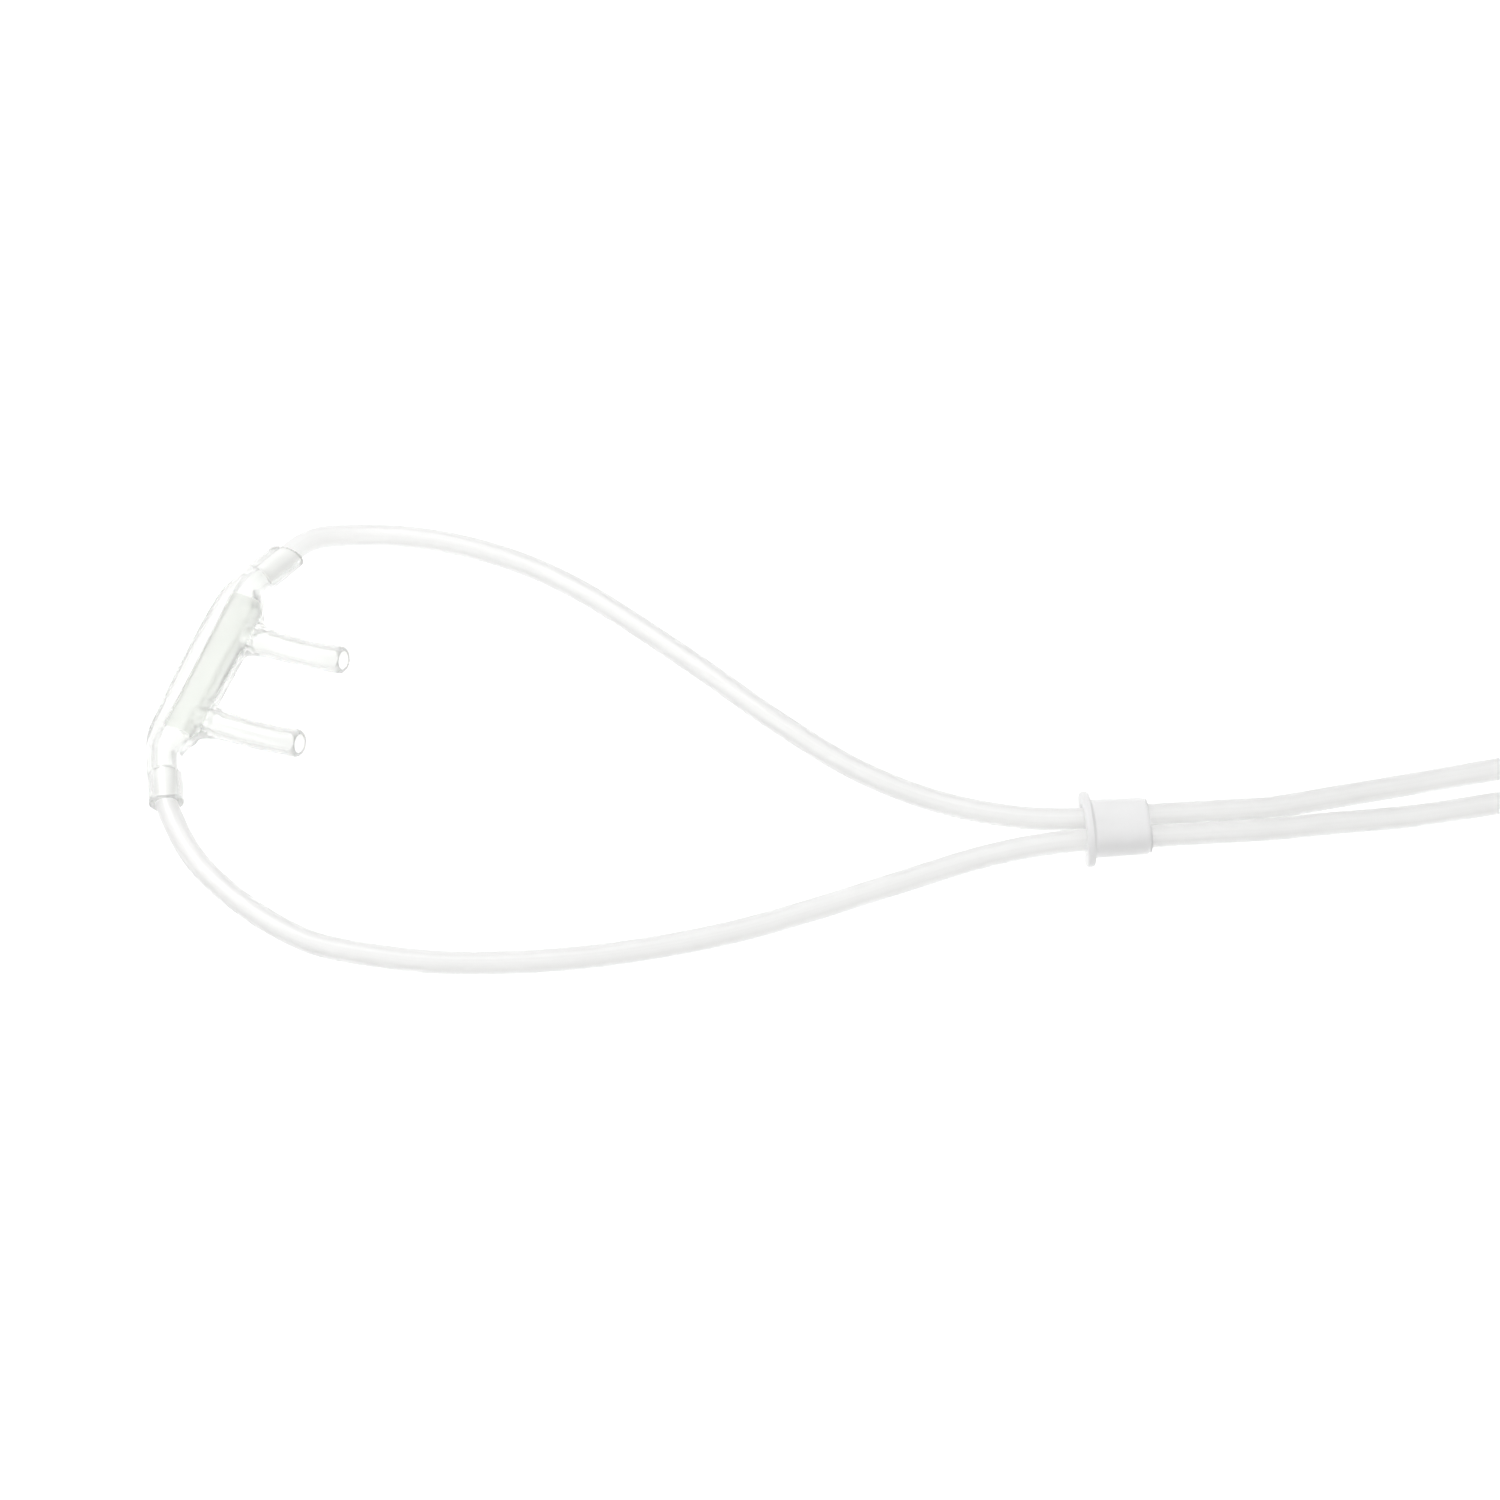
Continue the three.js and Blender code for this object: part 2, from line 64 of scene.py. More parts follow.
distance = LENS / SENSOR * PICTURE / PIXELS_PER_MM / 1000
camera = bpy.data.objects.new("camera", bpy.data.cameras.new("camera"))
camera.data.lens = LENS
camera.data.sensor_width = SENSOR
camera.data.clip_start = 0.01
camera.location = AIM + distance * Vector((0, -math.cos(ELEVATION), math.sin(ELEVATION)))
camera.rotation_euler = (math.pi / 2 - ELEVATION, 0, 0)
bpy.context.scene.collection.objects.link(camera)
bpy.context.scene.camera = camera
print("camera", round(distance, 3), "m from the table's middle")

# %% [markdown]
# ## Routes of the tubes
#
# A cannula is mostly tube, so the curves are the drawing. Each route is a short list of points that a
# smooth line runs through: out of the nose piece, round the loop, side by side through the slider, and
# round the coil to the Y connector. A Catmull-Rom line passes through all of its points and never
# overshoots much, so it suits points that were chosen along a real tube. Blender's own Bezier curves
# would need two handles for each point.

# %% Listed points, in millimetres
LUMEN_WIDTH = 0.0037
SUPPLY_WIDTH = 0.0054
LUMEN_REST = 1.85
SUPPLY_REST = 2.7
NOSE_HEIGHT = 2.9
SLIDER_HEIGHT = 4.5
JOINER_HEIGHT = 3.95
TOP_HEIGHT = 25.7
FUNNEL_HEIGHT = 29.0

left_points = [
    (8.3, 19.9, NOSE_HEIGHT), (12.2, 24.2, NOSE_HEIGHT), (14.6, 26.6, 2.9), (17.5, 28.3, 2.6), (21.2, 29.1, 2.1),
    (28.0, 29.4, LUMEN_REST), (35.1, 28.7, LUMEN_REST), (42.2, 27.2, LUMEN_REST), (49.3, 24.9, LUMEN_REST),
    (56.5, 21.7, LUMEN_REST), (63.6, 17.5, LUMEN_REST), (70.7, 12.4, LUMEN_REST), (84.6, 1.4, LUMEN_REST),
    (98.3, -10.0, LUMEN_REST), (111.6, -19.5, LUMEN_REST), (124.8, -25.6, 2.0), (137.8, -29.3, 3.3),
    (146.6, -30.38, SLIDER_HEIGHT), (150.5, -30.12, SLIDER_HEIGHT), (174.5, -28.53, SLIDER_HEIGHT),
    (178.4, -28.27, SLIDER_HEIGHT), (190.6, -25.2, 3.1), (203.6, -22.0, LUMEN_REST),
    (218.8, -19.0, LUMEN_REST), (232.0, -16.6, LUMEN_REST), (244.5, -15.2, LUMEN_REST), (256.0, -15.0, LUMEN_REST),
    (271.4, -17.7, LUMEN_REST), (284.9, -25.5, LUMEN_REST), (295.0, -37.5, LUMEN_REST), (300.3, -52.2, LUMEN_REST),
    (301.1, -67.8, LUMEN_REST), (301.0, -84.0, LUMEN_REST), (300.0, -92.6, LUMEN_REST), (297.0, -99.3, 2.5),
    (291.8, -103.6, 3.4), (285.6, -105.0, JOINER_HEIGHT), (276.4, -105.0, JOINER_HEIGHT),
]
right_points = [
    (-4.51, -20.49, NOSE_HEIGHT), (-3.57, -26.42, NOSE_HEIGHT), (-2.0, -29.8, 2.7), (-0.2, -33.2, 2.3),
    (2.3, -36.8, LUMEN_REST), (5.9, -40.7, LUMEN_REST), (9.5, -43.9, LUMEN_REST), (14.3, -47.5, LUMEN_REST),
    (18.8, -50.2, LUMEN_REST), (23.8, -52.4, LUMEN_REST), (40.1, -55.3, LUMEN_REST),
    (53.0, -55.6, LUMEN_REST), (65.8, -54.7, LUMEN_REST), (78.7, -52.7, LUMEN_REST), (91.6, -49.7, LUMEN_REST),
    (104.6, -45.5, LUMEN_REST), (117.7, -40.8, LUMEN_REST), (131.0, -36.5, 2.5), (140.0, -34.9, 3.6),
    (147.0, -34.37, SLIDER_HEIGHT), (150.8, -34.12, SLIDER_HEIGHT), (174.7, -32.53, SLIDER_HEIGHT),
    (178.6, -32.27, SLIDER_HEIGHT), (190.2, -30.2, 3.1), (203.0, -28.2, LUMEN_REST),
    (217.9, -25.6, LUMEN_REST), (233.5, -22.5, LUMEN_REST), (245.4, -20.2, LUMEN_REST), (256.0, -18.9, LUMEN_REST),
    (270.0, -21.4, LUMEN_REST), (282.5, -28.5, LUMEN_REST), (291.6, -39.4, LUMEN_REST), (296.5, -52.8, LUMEN_REST),
    (296.8, -67.0, LUMEN_REST), (296.8, -80.0, LUMEN_REST), (296.0, -88.6, LUMEN_REST), (294.0, -94.6, 2.5),
    (290.2, -98.4, 3.4), (285.2, -99.8, JOINER_HEIGHT), (276.4, -99.8, JOINER_HEIGHT),
]
lead_points = [
    (262.2, -102.4, JOINER_HEIGHT), (254.0, -102.4, JOINER_HEIGHT), (247.5, -101.9, 3.3),
    (241.5, -99.9, SUPPLY_REST), (236.5, -97.2, SUPPLY_REST),
]
tail_points = [
    (223.4, -73.8, 22.2), (223.9, -58.0, 24.8), (230.5, -44.5, TOP_HEIGHT), (242.0, -34.9, TOP_HEIGHT),
    (253.4, -30.6, TOP_HEIGHT), (261.0, -28.0, TOP_HEIGHT), (268.0, -27.2, 26.0), (274.0, -28.8, 26.7),
    (278.2, -33.0, 27.9), (280.0, -38.8, 28.8), (280.0, -42.0, FUNNEL_HEIGHT), (280.0, -50.0, FUNNEL_HEIGHT),
]
print("points", len(left_points), len(right_points), len(lead_points) + len(tail_points))

# %% [markdown]
# The supply tube is two metres long, so the part that nobody looks at is wound up for storage. A loop in
# code lays its turns: in towards the middle on the lowest layer, out again on the next, and so on for
# four layers, each turn a little more than a diameter from the last. The tube climbs a layer where it turns
# round, and eases in from the table at the start.

# %% Wind the coil by a rule
COIL_CENTRE = Vector((256, -60, 0))
COIL_PITCH = 5.5
COIL_MEAN = 27.0
TURNS_ACROSS = 3
LAYERS = 4
COIL_FLOOR = 0.75
COIL_START = math.radians(230)
POINTS_PER_TURN = 24
ENTRY_REACH = 41.2
EASE_TURN = 60 / 360
CLIMB_TURN = 60 / 360


def ease(share):
    share = min(1.0, max(0.0, share))
    return share * share * (3 - 2 * share)


def coil_points():
    outer = COIL_MEAN + TURNS_ACROSS * COIL_PITCH / 2
    points = []
    for i in range(LAYERS * TURNS_ACROSS * POINTS_PER_TURN + 1):
        turn = i / POINTS_PER_TURN
        layer = min(int(turn / TURNS_ACROSS), LAYERS - 1)
        across = turn - layer * TURNS_ACROSS
        inward = across if layer % 2 == 0 else TURNS_ACROSS - across
        reach = outer - inward * COIL_PITCH
        reach += (ENTRY_REACH - outer) * (1 - ease(turn / EASE_TURN))
        climb = ease(across / CLIMB_TURN) if layer else 1.0
        height = COIL_FLOOR + SUPPLY_REST + (layer - 1 + climb) * COIL_PITCH
        height -= COIL_FLOOR * (1 - ease(turn / EASE_TURN))
        angle = COIL_START - turn * 2 * math.pi
        place = Vector((reach * math.cos(angle), reach * math.sin(angle), height))
        points.append(tuple(COIL_CENTRE + place))
    return points


coil = coil_points()
print("coil points", len(coil), "height", round(max(p[2] for p in coil), 1))


# %% Turn points into one smooth line
def smooth_line(points, step):
    """Centripetal Catmull-Rom through points in millimetres, resampled every step; metres come back."""
    knots = [Vector(p) / 1000 for p in points]
    knots = [2 * knots[0] - knots[1], *knots, 2 * knots[-1] - knots[-2]]
    fine = [knots[1]]
    for a, b, c, d in zip(knots, knots[1:], knots[2:], knots[3:]):
        ta = 0.0
        tb = ta + math.sqrt((b - a).length)
        tc = tb + math.sqrt((c - b).length)
        td = tc + math.sqrt((d - c).length)
        pieces = max(2, round((c - b).length / 0.0005))
        for i in range(1, pieces + 1):
            t = tb + (tc - tb) * i / pieces
            ab = a.lerp(b, (t - ta) / (tb - ta))
            bc = b.lerp(c, (t - tb) / (tc - tb))
            cd = c.lerp(d, (t - tc) / (td - tc))
            abc = ab.lerp(bc, (t - ta) / (tc - ta))
            bcd = bc.lerp(cd, (t - tb) / (td - tb))
            fine.append(abc.lerp(bcd, (t - tb) / (tc - tb)))
    along = [0.0]
    for a, b in zip(fine, fine[1:]):
        along.append(along[-1] + (b - a).length)
    count = max(2, round(along[-1] / step))
    line, i = [], 0
    for k in range(count + 1):
        target = along[-1] * k / count
        while i < len(along) - 2 and along[i + 1] < target:
            i += 1
        share = (target - along[i]) / max(1e-9, along[i + 1] - along[i])
        line.append(fine[i].lerp(fine[i + 1], share))
    return line


def length_of(line):
    return sum((b - a).length for a, b in zip(line, line[1:]))


LUMEN_STEP = 0.0015
SUPPLY_STEP = 0.0025
left_line = smooth_line(left_points, LUMEN_STEP)
right_line = smooth_line(right_points, LUMEN_STEP)
supply_line = smooth_line(lead_points + coil + tail_points, SUPPLY_STEP)
for name, line in (("left", left_line), ("right", right_line), ("supply", supply_line)):
    print(name, "tube", round(length_of(line), 4), "m")

# %% [markdown]
# ## Helpers for skins
#
# Almost everything here is a skin over rings of points: a tube is many rings along a line, a moulding is a
# few rings of changing shape. Blender has a curve bevel and a Screw modifier for such shapes, but clear
# plastic needs walls with an inside, and rings give that in one closed surface: out along the outside and
# back along the bore.

# %% Skin rings into a mesh
def skin(name, rings, closed=False, around=1.0, along=None):
    """A mesh over rings of equal counts. closed joins last to first; otherwise both ends get a cap."""
    sides = len(rings[0])
    mesh = bpy.data.meshes.new(name)
    bm = bmesh.new()
    rows = [[bm.verts.new(p) for p in ring] for ring in rings]
    layer = bm.loops.layers.uv.new("run")
    count = len(rings) if closed else len(rings) - 1
    for i in range(count):
        j = (i + 1) % len(rings)
        va = along[i] if along else float(i)
        vb = along[j] if along else float(i + 1)
        for k in range(sides):
            n = (k + 1) % sides
            face = bm.faces.new((rows[i][k], rows[i][n], rows[j][n], rows[j][k]))
            corners = ((k, va), (k + 1, va), (k + 1, vb), (k, vb))
            for loop, (u, v) in zip(face.loops, corners):
                loop[layer].uv = (around * u / sides, v)
    if not closed:
        bm.faces.new(list(reversed(rows[0])))
        bm.faces.new(rows[-1])
    bmesh.ops.recalc_face_normals(bm, faces=bm.faces)
    if bm.calc_volume(signed=True) < 0:
        bmesh.ops.reverse_faces(bm, faces=bm.faces)
    bm.to_mesh(mesh)
    bm.free()
    for polygon in mesh.polygons:
        polygon.use_smooth = True
    piece = bpy.data.objects.new(name, mesh)
    bpy.context.scene.collection.objects.link(piece)
    return piece


def show_facts(piece):
    """Print what a mesh is made of: triangles, open edges and the plastic's volume."""
    bm = bmesh.new()
    bm.from_mesh(piece.data)
    open_edges = sum(1 for edge in bm.edges if len(edge.link_faces) != 2)
    triangles = sum(len(face.verts) - 2 for face in bm.faces)
    volume = bm.calc_volume(signed=True) * 1e9
    bm.free()
    print(piece.name, triangles, "triangles,", open_edges, "open edges,", round(volume, 1), "mm3")


def ring_at(centre, across, up, sides, radius_at):
    """One ring; radius_at gives its reach for each angle from across towards up."""
    ring = []
    for k in range(sides):
        angle = 2 * math.pi * k / sides
        radius = radius_at(angle)
        ring.append(centre + across * (radius * math.cos(angle)) + up * (radius * math.sin(angle)))
    return ring


def loft(name, matrix, stations, sides, closed=False):
    """A skin along X over (x, radius function) stations; closed ones go out outside and back inside."""
    rings = []
    for x, radius_at in stations:
        ring = ring_at(Vector((x, 0, 0)), Vector((0, 1, 0)), Vector((0, 0, 1)), sides, radius_at)
        rings.append([matrix @ p for p in ring])
    return skin(name, rings, closed=closed)


def rod(matrix, a, b, radius, sides=36):
    """A straight round form from a to b."""
    a, b = Vector(a), Vector(b)
    tangent = (b - a).normalized()
    across = Vector((0, 0, 1)).cross(tangent).normalized()
    rings = [[matrix @ p for p in ring_at(c, across, tangent.cross(across), sides, lambda angle: radius)]
             for c in (a, a.lerp(b, 0.5), b)]
    return skin("rod", rings)


def carried_frames(line):
    """A tangent, a sideways and an upward direction at each point, carried along without twisting."""
    frames = []
    up = Vector((0, 0, 1))
    for i in range(len(line)):
        tangent = (line[min(i + 1, len(line) - 1)] - line[max(i - 1, 0)]).normalized()
        across = up.cross(tangent).normalized()
        up = tangent.cross(across).normalized()
        frames.append((tangent, across, up))
    return frames


# %% A hollow tube along a line
def hollow_tube(name, line, outer, inner, sides, edge=0.00012):
    """Outer skin out, inner skin back, with the cut ends a little rounded."""
    frames = carried_frames(line)
    last = len(line) - 1
    stops = [(0, inner + edge, 0.0), (0, outer - edge, 0.0)]
    stops += [(i, outer, edge if i == 0 else -edge if i == last else 0.0) for i in range(last + 1)]
    stops += [(last, outer - edge, 0.0), (last, inner + edge, 0.0)]
    stops += [(i, inner, edge if i == 0 else -edge if i == last else 0.0) for i in range(last, -1, -1)]
    rings, along = [], []
    step = length_of(line) / last
    for i, radius, shift in stops:
        tangent, across, up = frames[i]
        rings.append(ring_at(line[i] + tangent * shift, across, up, sides, lambda angle: radius))
        along.append(i * step * 100)
    return skin(name, rings, closed=True, along=along)


LUMEN_BORE = 0.0024
SUPPLY_BORE = 0.004
left_tube = hollow_tube("left_fine_tube", left_line, LUMEN_WIDTH / 2, LUMEN_BORE / 2, 28)
right_tube = hollow_tube("right_fine_tube", right_line, LUMEN_WIDTH / 2, LUMEN_BORE / 2, 28)
supply_tube = hollow_tube("supply_tube", supply_line, SUPPLY_WIDTH / 2, SUPPLY_BORE / 2, 24)
for piece in (left_tube, right_tube, supply_tube):
    show_facts(piece)

# %% [markdown]
# ## Modifiers that leave a plain mesh
#
# Fillets on a soft moulding flow from one form into the next. Bevels can't do that where two curved forms
# meet, so the forms are merged as a skin of small cubes (a voxel remesh) and relaxed, which rounds every
# inner corner as a mould maker would. Each modifier is applied at once, so what is left is only a mesh.

# %% Apply modifiers, merge forms, cut hollows
def baked(piece):
    """The piece with its modifiers turned into a plain mesh."""
    bpy.context.view_layer.update()
    graph = bpy.context.evaluated_depsgraph_get()
    mesh = bpy.data.meshes.new_from_object(piece.evaluated_get(graph), depsgraph=graph)
    piece.modifiers.clear()
    piece.data = mesh
    for polygon in mesh.polygons:
        polygon.use_smooth = True
    return piece


def merged(name, forms, voxel, relax):
    """Overlapping closed forms as one relaxed skin."""
    bm = bmesh.new()
    for form in forms:
        bm.from_mesh(form.data)
        bpy.data.objects.remove(form)
    mesh = bpy.data.meshes.new(name)
    bm.to_mesh(mesh)
    bm.free()
    piece = bpy.data.objects.new(name, mesh)
    bpy.context.scene.collection.objects.link(piece)
    remesh = piece.modifiers.new("remesh", "REMESH")
    remesh.mode = "VOXEL"
    remesh.voxel_size = voxel
    smooth = piece.modifiers.new("relax", "SMOOTH")
    smooth.factor = 0.5
    smooth.iterations = relax
    return baked(piece)


def carve(piece, cutter):
    """Cut one closed form out of another."""
    cut = piece.modifiers.new("carve", "BOOLEAN")
    cut.operation = "DIFFERENCE"
    cut.solver = "EXACT"
    cut.object = cutter
    baked(piece)
    bpy.data.objects.remove(cutter)
    return piece


# %% [markdown]
# ## The nose piece
#
# The real part is one soft vinyl moulding. A hollow body bows gently towards the prongs, carries a flat
# panel that lies against the upper lip, and ends in two sockets that the fine tubes are glued into. It
# could be sculpted, but every feature has a size, so it is lofted from outlines along the body instead,
# merged with the two prongs so that their roots flow, and then hollowed.

# %% Sizes of the nose piece, in millimetres in its own frame
NOSE_YAW = math.radians(70)
SOCKET_OUTER = 5.8
SOCKET_LENGTH = 7.0
NEAR_BEND = math.radians(29)
NEAR_NECK_SHARE = 0.8
FAR_BEND = math.radians(22)
FAR_NECK_SHARE = 0.25
BODY_HALF = 14.6
NECK = 5.8
PANEL = (-3.5, 1.3)
PANEL_TOP = 5.6
TAB_REACH = 4.85
CHAMBER_REACH = 4.9
WALL = 1.0
THROAT = 1.4
PRONG_SPACING = 17.8
PRONG_REACH = 22.4
PRONG_WIDTH = 4.7
PRONG_BORE = 3.2
PRONG_RISE = 2.2
PRONG_STRAIGHT = 8.0

TAB_TAPER = 1.1
TAB_BOW = 0.6
TAB_RUN = ((-17.6, -13.1), (16.8, 22.0))
WAIST_RUN = ((-18.0, -13.6), (13.6, 17.9))
MOUTH_LEAN = 0.5

nose_matrix = Matrix.Rotation(NOSE_YAW, 4, "Z") @ Matrix.Scale(0.001, 4)
nose_back = nose_matrix.inverted()


def outline_radius(corners, angle):
    """How far a convex outline reaches from its middle in one direction."""
    direction = (math.cos(angle), math.sin(angle))
    radius = math.inf
    for (x0, y0), (x1, y1) in zip(corners, corners[1:] + corners[:1]):
        nx, ny = y1 - y0, x0 - x1
        facing = nx * direction[0] + ny * direction[1]
        if facing > 1e-9:
            radius = min(radius, (nx * x0 + ny * y0) / facing)
    return radius


def toward_far(x):
    return max(0.0, min(1.0, (x - TAB_RUN[0][1]) / (TAB_RUN[1][0] - TAB_RUN[0][1])))


def panel_edge(x):
    return PANEL[1] - TAB_TAPER * (1 - toward_far(x))


def full_radius(angle, x):
    """Reach of the body's section at a place along it, in one direction from the spine."""
    share = toward_far(x)
    edge = TAB_REACH - TAB_TAPER * (1 - share) + TAB_BOW * 4 * share * (1 - share)
    outline = [(edge, 2.4), (panel_edge(x), PANEL_TOP), (PANEL[0], PANEL_TOP), (-CHAMBER_REACH, 4.1),
               (-CHAMBER_REACH, 1.5), (-3.4, 0.0), (edge - 1.8, 0.0), (edge, 1.9)]
    return outline_radius([(across, height - SOCKET_OUTER / 2) for across, height in outline], angle)


print("tab reaches", [round(full_radius(0.0, x), 2) for x in (TAB_RUN[0][1], 0.0, TAB_RUN[1][0])], "mm")


# %% The spine of the body, from the near socket's mouth to the far one's
def socket_end(side, bend, share):
    """Points from the body's shoulder to the socket's mouth."""
    def heading(angle):
        return Vector((side * math.cos(angle), -math.sin(angle), 0))
    shoulder = Vector((side * BODY_HALF, 0, SOCKET_OUTER / 2))
    neck = shoulder + heading(bend * share) * NECK
    mouth = neck + heading(bend) * SOCKET_LENGTH
    return shoulder, neck, mouth


near_shoulder, near_neck, near_mouth = socket_end(-1, NEAR_BEND, NEAR_NECK_SHARE)
far_shoulder, far_neck, far_mouth = socket_end(1, FAR_BEND, FAR_NECK_SHARE)
spine_points = [near_mouth, near_mouth.lerp(near_neck, 0.5), near_neck, near_shoulder, Vector((-7, 0, 2.9)),
                Vector((7, 0, 2.9)), far_shoulder, far_neck, far_mouth.lerp(far_neck, 0.5), far_mouth]
spine = [p * 1000 for p in smooth_line([tuple(p) for p in spine_points], 0.0004)]


def run_share(x, run):
    """1 between the inner ends of a run, falling straight to 0 at its outer ends."""
    (near_out, near_in), (far_in, far_out) = run
    return max(0.0, min(1.0, (x - near_out) / (near_in - near_out), (far_out - x) / (far_out - far_in)))


def body_share(x, angle):
    """How much of the full outline the moulding has: the tab runs on further than the waist below it."""
    waist, tab = run_share(x, WAIST_RUN), run_share(x, TAB_RUN)
    return waist + (tab - waist) * (0.5 + 0.5 * math.cos(angle))


def nose_rings(sides, radius_of, points, lean=0.0):
    """Rings along the body; the far socket's mouth is cut at a slant."""
    rings = []
    for i, point in enumerate(points):
        ahead = points[min(i + 1, len(points) - 1)] - points[max(i - 1, 0)]
        tangent = ahead.normalized()
        across = Vector((-tangent.y, tangent.x, 0)).normalized()
        slant = across - tangent * (lean * ease((point.x - BODY_HALF - NECK) / SOCKET_LENGTH))
        rings.append([nose_matrix @ p for p in ring_at(
            point, slant, Vector((0, 0, 1)), sides, lambda angle: radius_of(angle, point.x))])
    return rings


def outer_radius(angle, x):
    return SOCKET_OUTER / 2 + body_share(x, angle) * (full_radius(angle, x) - SOCKET_OUTER / 2)


body_form = skin("body_form", nose_rings(96, outer_radius, spine, MOUTH_LEAN))
print("spine", round(length_of(spine), 1), "mm over", len(spine), "rings")


# %% The prongs, flared at the root and rising to the tip
def prong_height(reach):
    past = max(0.0, reach - PRONG_STRAIGHT) / (PRONG_REACH - PRONG_STRAIGHT)
    return SOCKET_OUTER / 2 + PRONG_RISE * past * past


def prong_form(side, radii, sides=36):
    """A loft along one prong; radii lists (reach, width radius, height radius)."""
    rings = []
    for reach, wide, tall in radii:
        slope = (prong_height(reach + 0.1) - prong_height(reach)) / 0.1
        tangent = Vector((0, -1, slope)).normalized()
        across = Vector((1, 0, 0))
        up = across.cross(tangent)
        centre = Vector((side * PRONG_SPACING / 2, -reach, prong_height(reach)))
        rings.append([nose_matrix @ (centre + across * (wide * math.cos(a)) + up * (tall * math.sin(a)))
                      for a in (2 * math.pi * k / sides for k in range(sides))])
    return skin("prong_form", rings)


PRONG_STEPS = 44
PRONG_START = CHAMBER_REACH - 2.4
FLARE_START = CHAMBER_REACH - 0.6
FLARE_FADE = 1.6
FLARE_WIDE, FLARE_TALL = 1.9, 0.35
TIP_RUN = 0.45
TIP_ROUND = 0.35


def prong_radii():
    """The outside of a prong: its root widens into the body, its tip is rounded."""
    radii = []
    for i in range(PRONG_STEPS + 1):
        reach = PRONG_START + (PRONG_REACH - PRONG_START) * i / PRONG_STEPS
        root = math.exp(-max(0.0, reach - FLARE_START) / FLARE_FADE)
        tip = max(0.0, 1 - (PRONG_REACH - reach) / TIP_RUN)
        rim = PRONG_WIDTH / 2 - TIP_ROUND * tip * tip
        radii.append((reach, rim + FLARE_WIDE * root, rim + FLARE_TALL * root))
    return radii


# %% Merge the body with its prongs
NOSE_VOXEL = 0.00022
OUTER_RELAX, INNER_RELAX = 9, 2
prong_forms = [prong_form(side, prong_radii()) for side in (-1, 1)]
nose_piece = merged("clear_nose_piece", [body_form, *prong_forms], NOSE_VOXEL, OUTER_RELAX)

FOLD_REACH = 4.6
FOLD_SCALE = 0.95
OUTER_FOLD, INNER_FOLD = 0.00028, 0.0003


def wrinkled(piece, depth, shift):
    """Small folds where the prongs' roots cooled last."""
    roots = [Vector((side * PRONG_SPACING / 2, -CHAMBER_REACH, SOCKET_OUTER / 2)) for side in (-1, 1)]
    normals = [vertex.normal.copy() for vertex in piece.data.vertices]
    for vertex, normal in zip(piece.data.vertices, normals):
        place = nose_back @ vertex.co
        near = max(0.0, 1 - min((place - root).length for root in roots) / FOLD_REACH)
        if near:
            fold = noise.noise(place * FOLD_SCALE + Vector((shift, 0, 0)))
            vertex.co += normal * (depth * ease(near * 1.6) * fold)


wrinkled(nose_piece, OUTER_FOLD, 0.0)
print("nose piece skin", len(nose_piece.data.polygons), "faces")


# %% Hollow it: sockets, chamber, prong bores
def chamber_radius(angle, x):
    share = max(0.0, (body_share(x, angle) - 0.15) / 0.85)
    return THROAT + share * (full_radius(angle, x) - WALL - THROAT)


SOCKET_GAP = 0.10
SOCKET_DEPTH_IN = 6.1
PAST_MOUTH = 3.0
socket_bore = LUMEN_WIDTH * 500 + SOCKET_GAP


inside = [p for p in spine if abs(p.x) < BODY_HALF + NECK * 0.9]
hollow_forms = [skin("chamber_form", nose_rings(48, chamber_radius, inside))]
for neck, mouth in ((near_neck, near_mouth), (far_neck, far_mouth)):
    out = (mouth - neck).normalized()
    past = mouth + out * PAST_MOUTH
    hollow_forms.append(rod(nose_matrix, neck - out * 0.6, past, THROAT, 40))
    hollow_forms.append(rod(nose_matrix, mouth - out * SOCKET_DEPTH_IN, past, socket_bore, 40))
for side in (-1, 1):
    hollow_forms.append(prong_form(side, [
        (2.0 + (PRONG_REACH - 1.5) * i / 30, PRONG_BORE / 2, PRONG_BORE / 2) for i in range(31)], 28))
hollow = merged("hollow", hollow_forms, NOSE_VOXEL, INNER_RELAX)
wrinkled(hollow, INNER_FOLD, 7.3)
carve(nose_piece, hollow)
show_facts(nose_piece)


# %% [markdown]
# The flat panel that lies against the lip is matt on the real piece, and the rest is glossy. It is the same
# moulding, so it isn't a mesh of its own: each vertex gets a number that says whether it is on the panel,
# and the material reads it. A second material slot would give a harder edge and one more thing to export.

# %% Paint where the flat panel is
def painted(piece, name, value_at):
    """A number on every vertex that a material can read."""
    layer = piece.data.attributes.new(name, "FLOAT", "POINT")
    for vertex, item in zip(piece.data.vertices, layer.data):
        item.value = value_at(vertex.co)


def on_panel(spot):
    place = nose_back @ spot
    inside_run = TAB_RUN[0][1] - 0.4 < place.x < TAB_RUN[1][0] - 1.6
    flat = place.z > 4.2 and -CHAMBER_REACH - 0.3 < place.y < panel_edge(place.x) + 0.1
    return 1.0 if inside_run and flat else 0.0


painted(nose_piece, "panel", on_panel)
print("panel covers", sum(1 for item in nose_piece.data.attributes["panel"].data if item.value), "vertices")

# %% [markdown]
# ## The slider
#
# The slider is a short sleeve with an oval flange at one end. The wearer pushes it up the two tubes until
# the loop sits snug. It is stiffer and milkier than the tubes. One closed loft makes it: the outside from
# the flange to the rounded end, then back along the long hole that both tubes run through.

# %% Make the slider
SLIDER_PLACE = Vector((0.1479, -0.0323, 0.0045))
SLIDER_YAW = math.radians(3.8)
FLANGE = (13.4, 9.0, 1.35)
SLEEVE = (10.2, 7.6, 9.45)
TUBE_SPACING = 4.0
SLOT_RADIUS = 2.2
slider_turn = Matrix.Rotation(SLIDER_YAW, 4, "Z") @ Matrix.Scale(0.001, 4)
slider_matrix = Matrix.Translation(SLIDER_PLACE) @ slider_turn


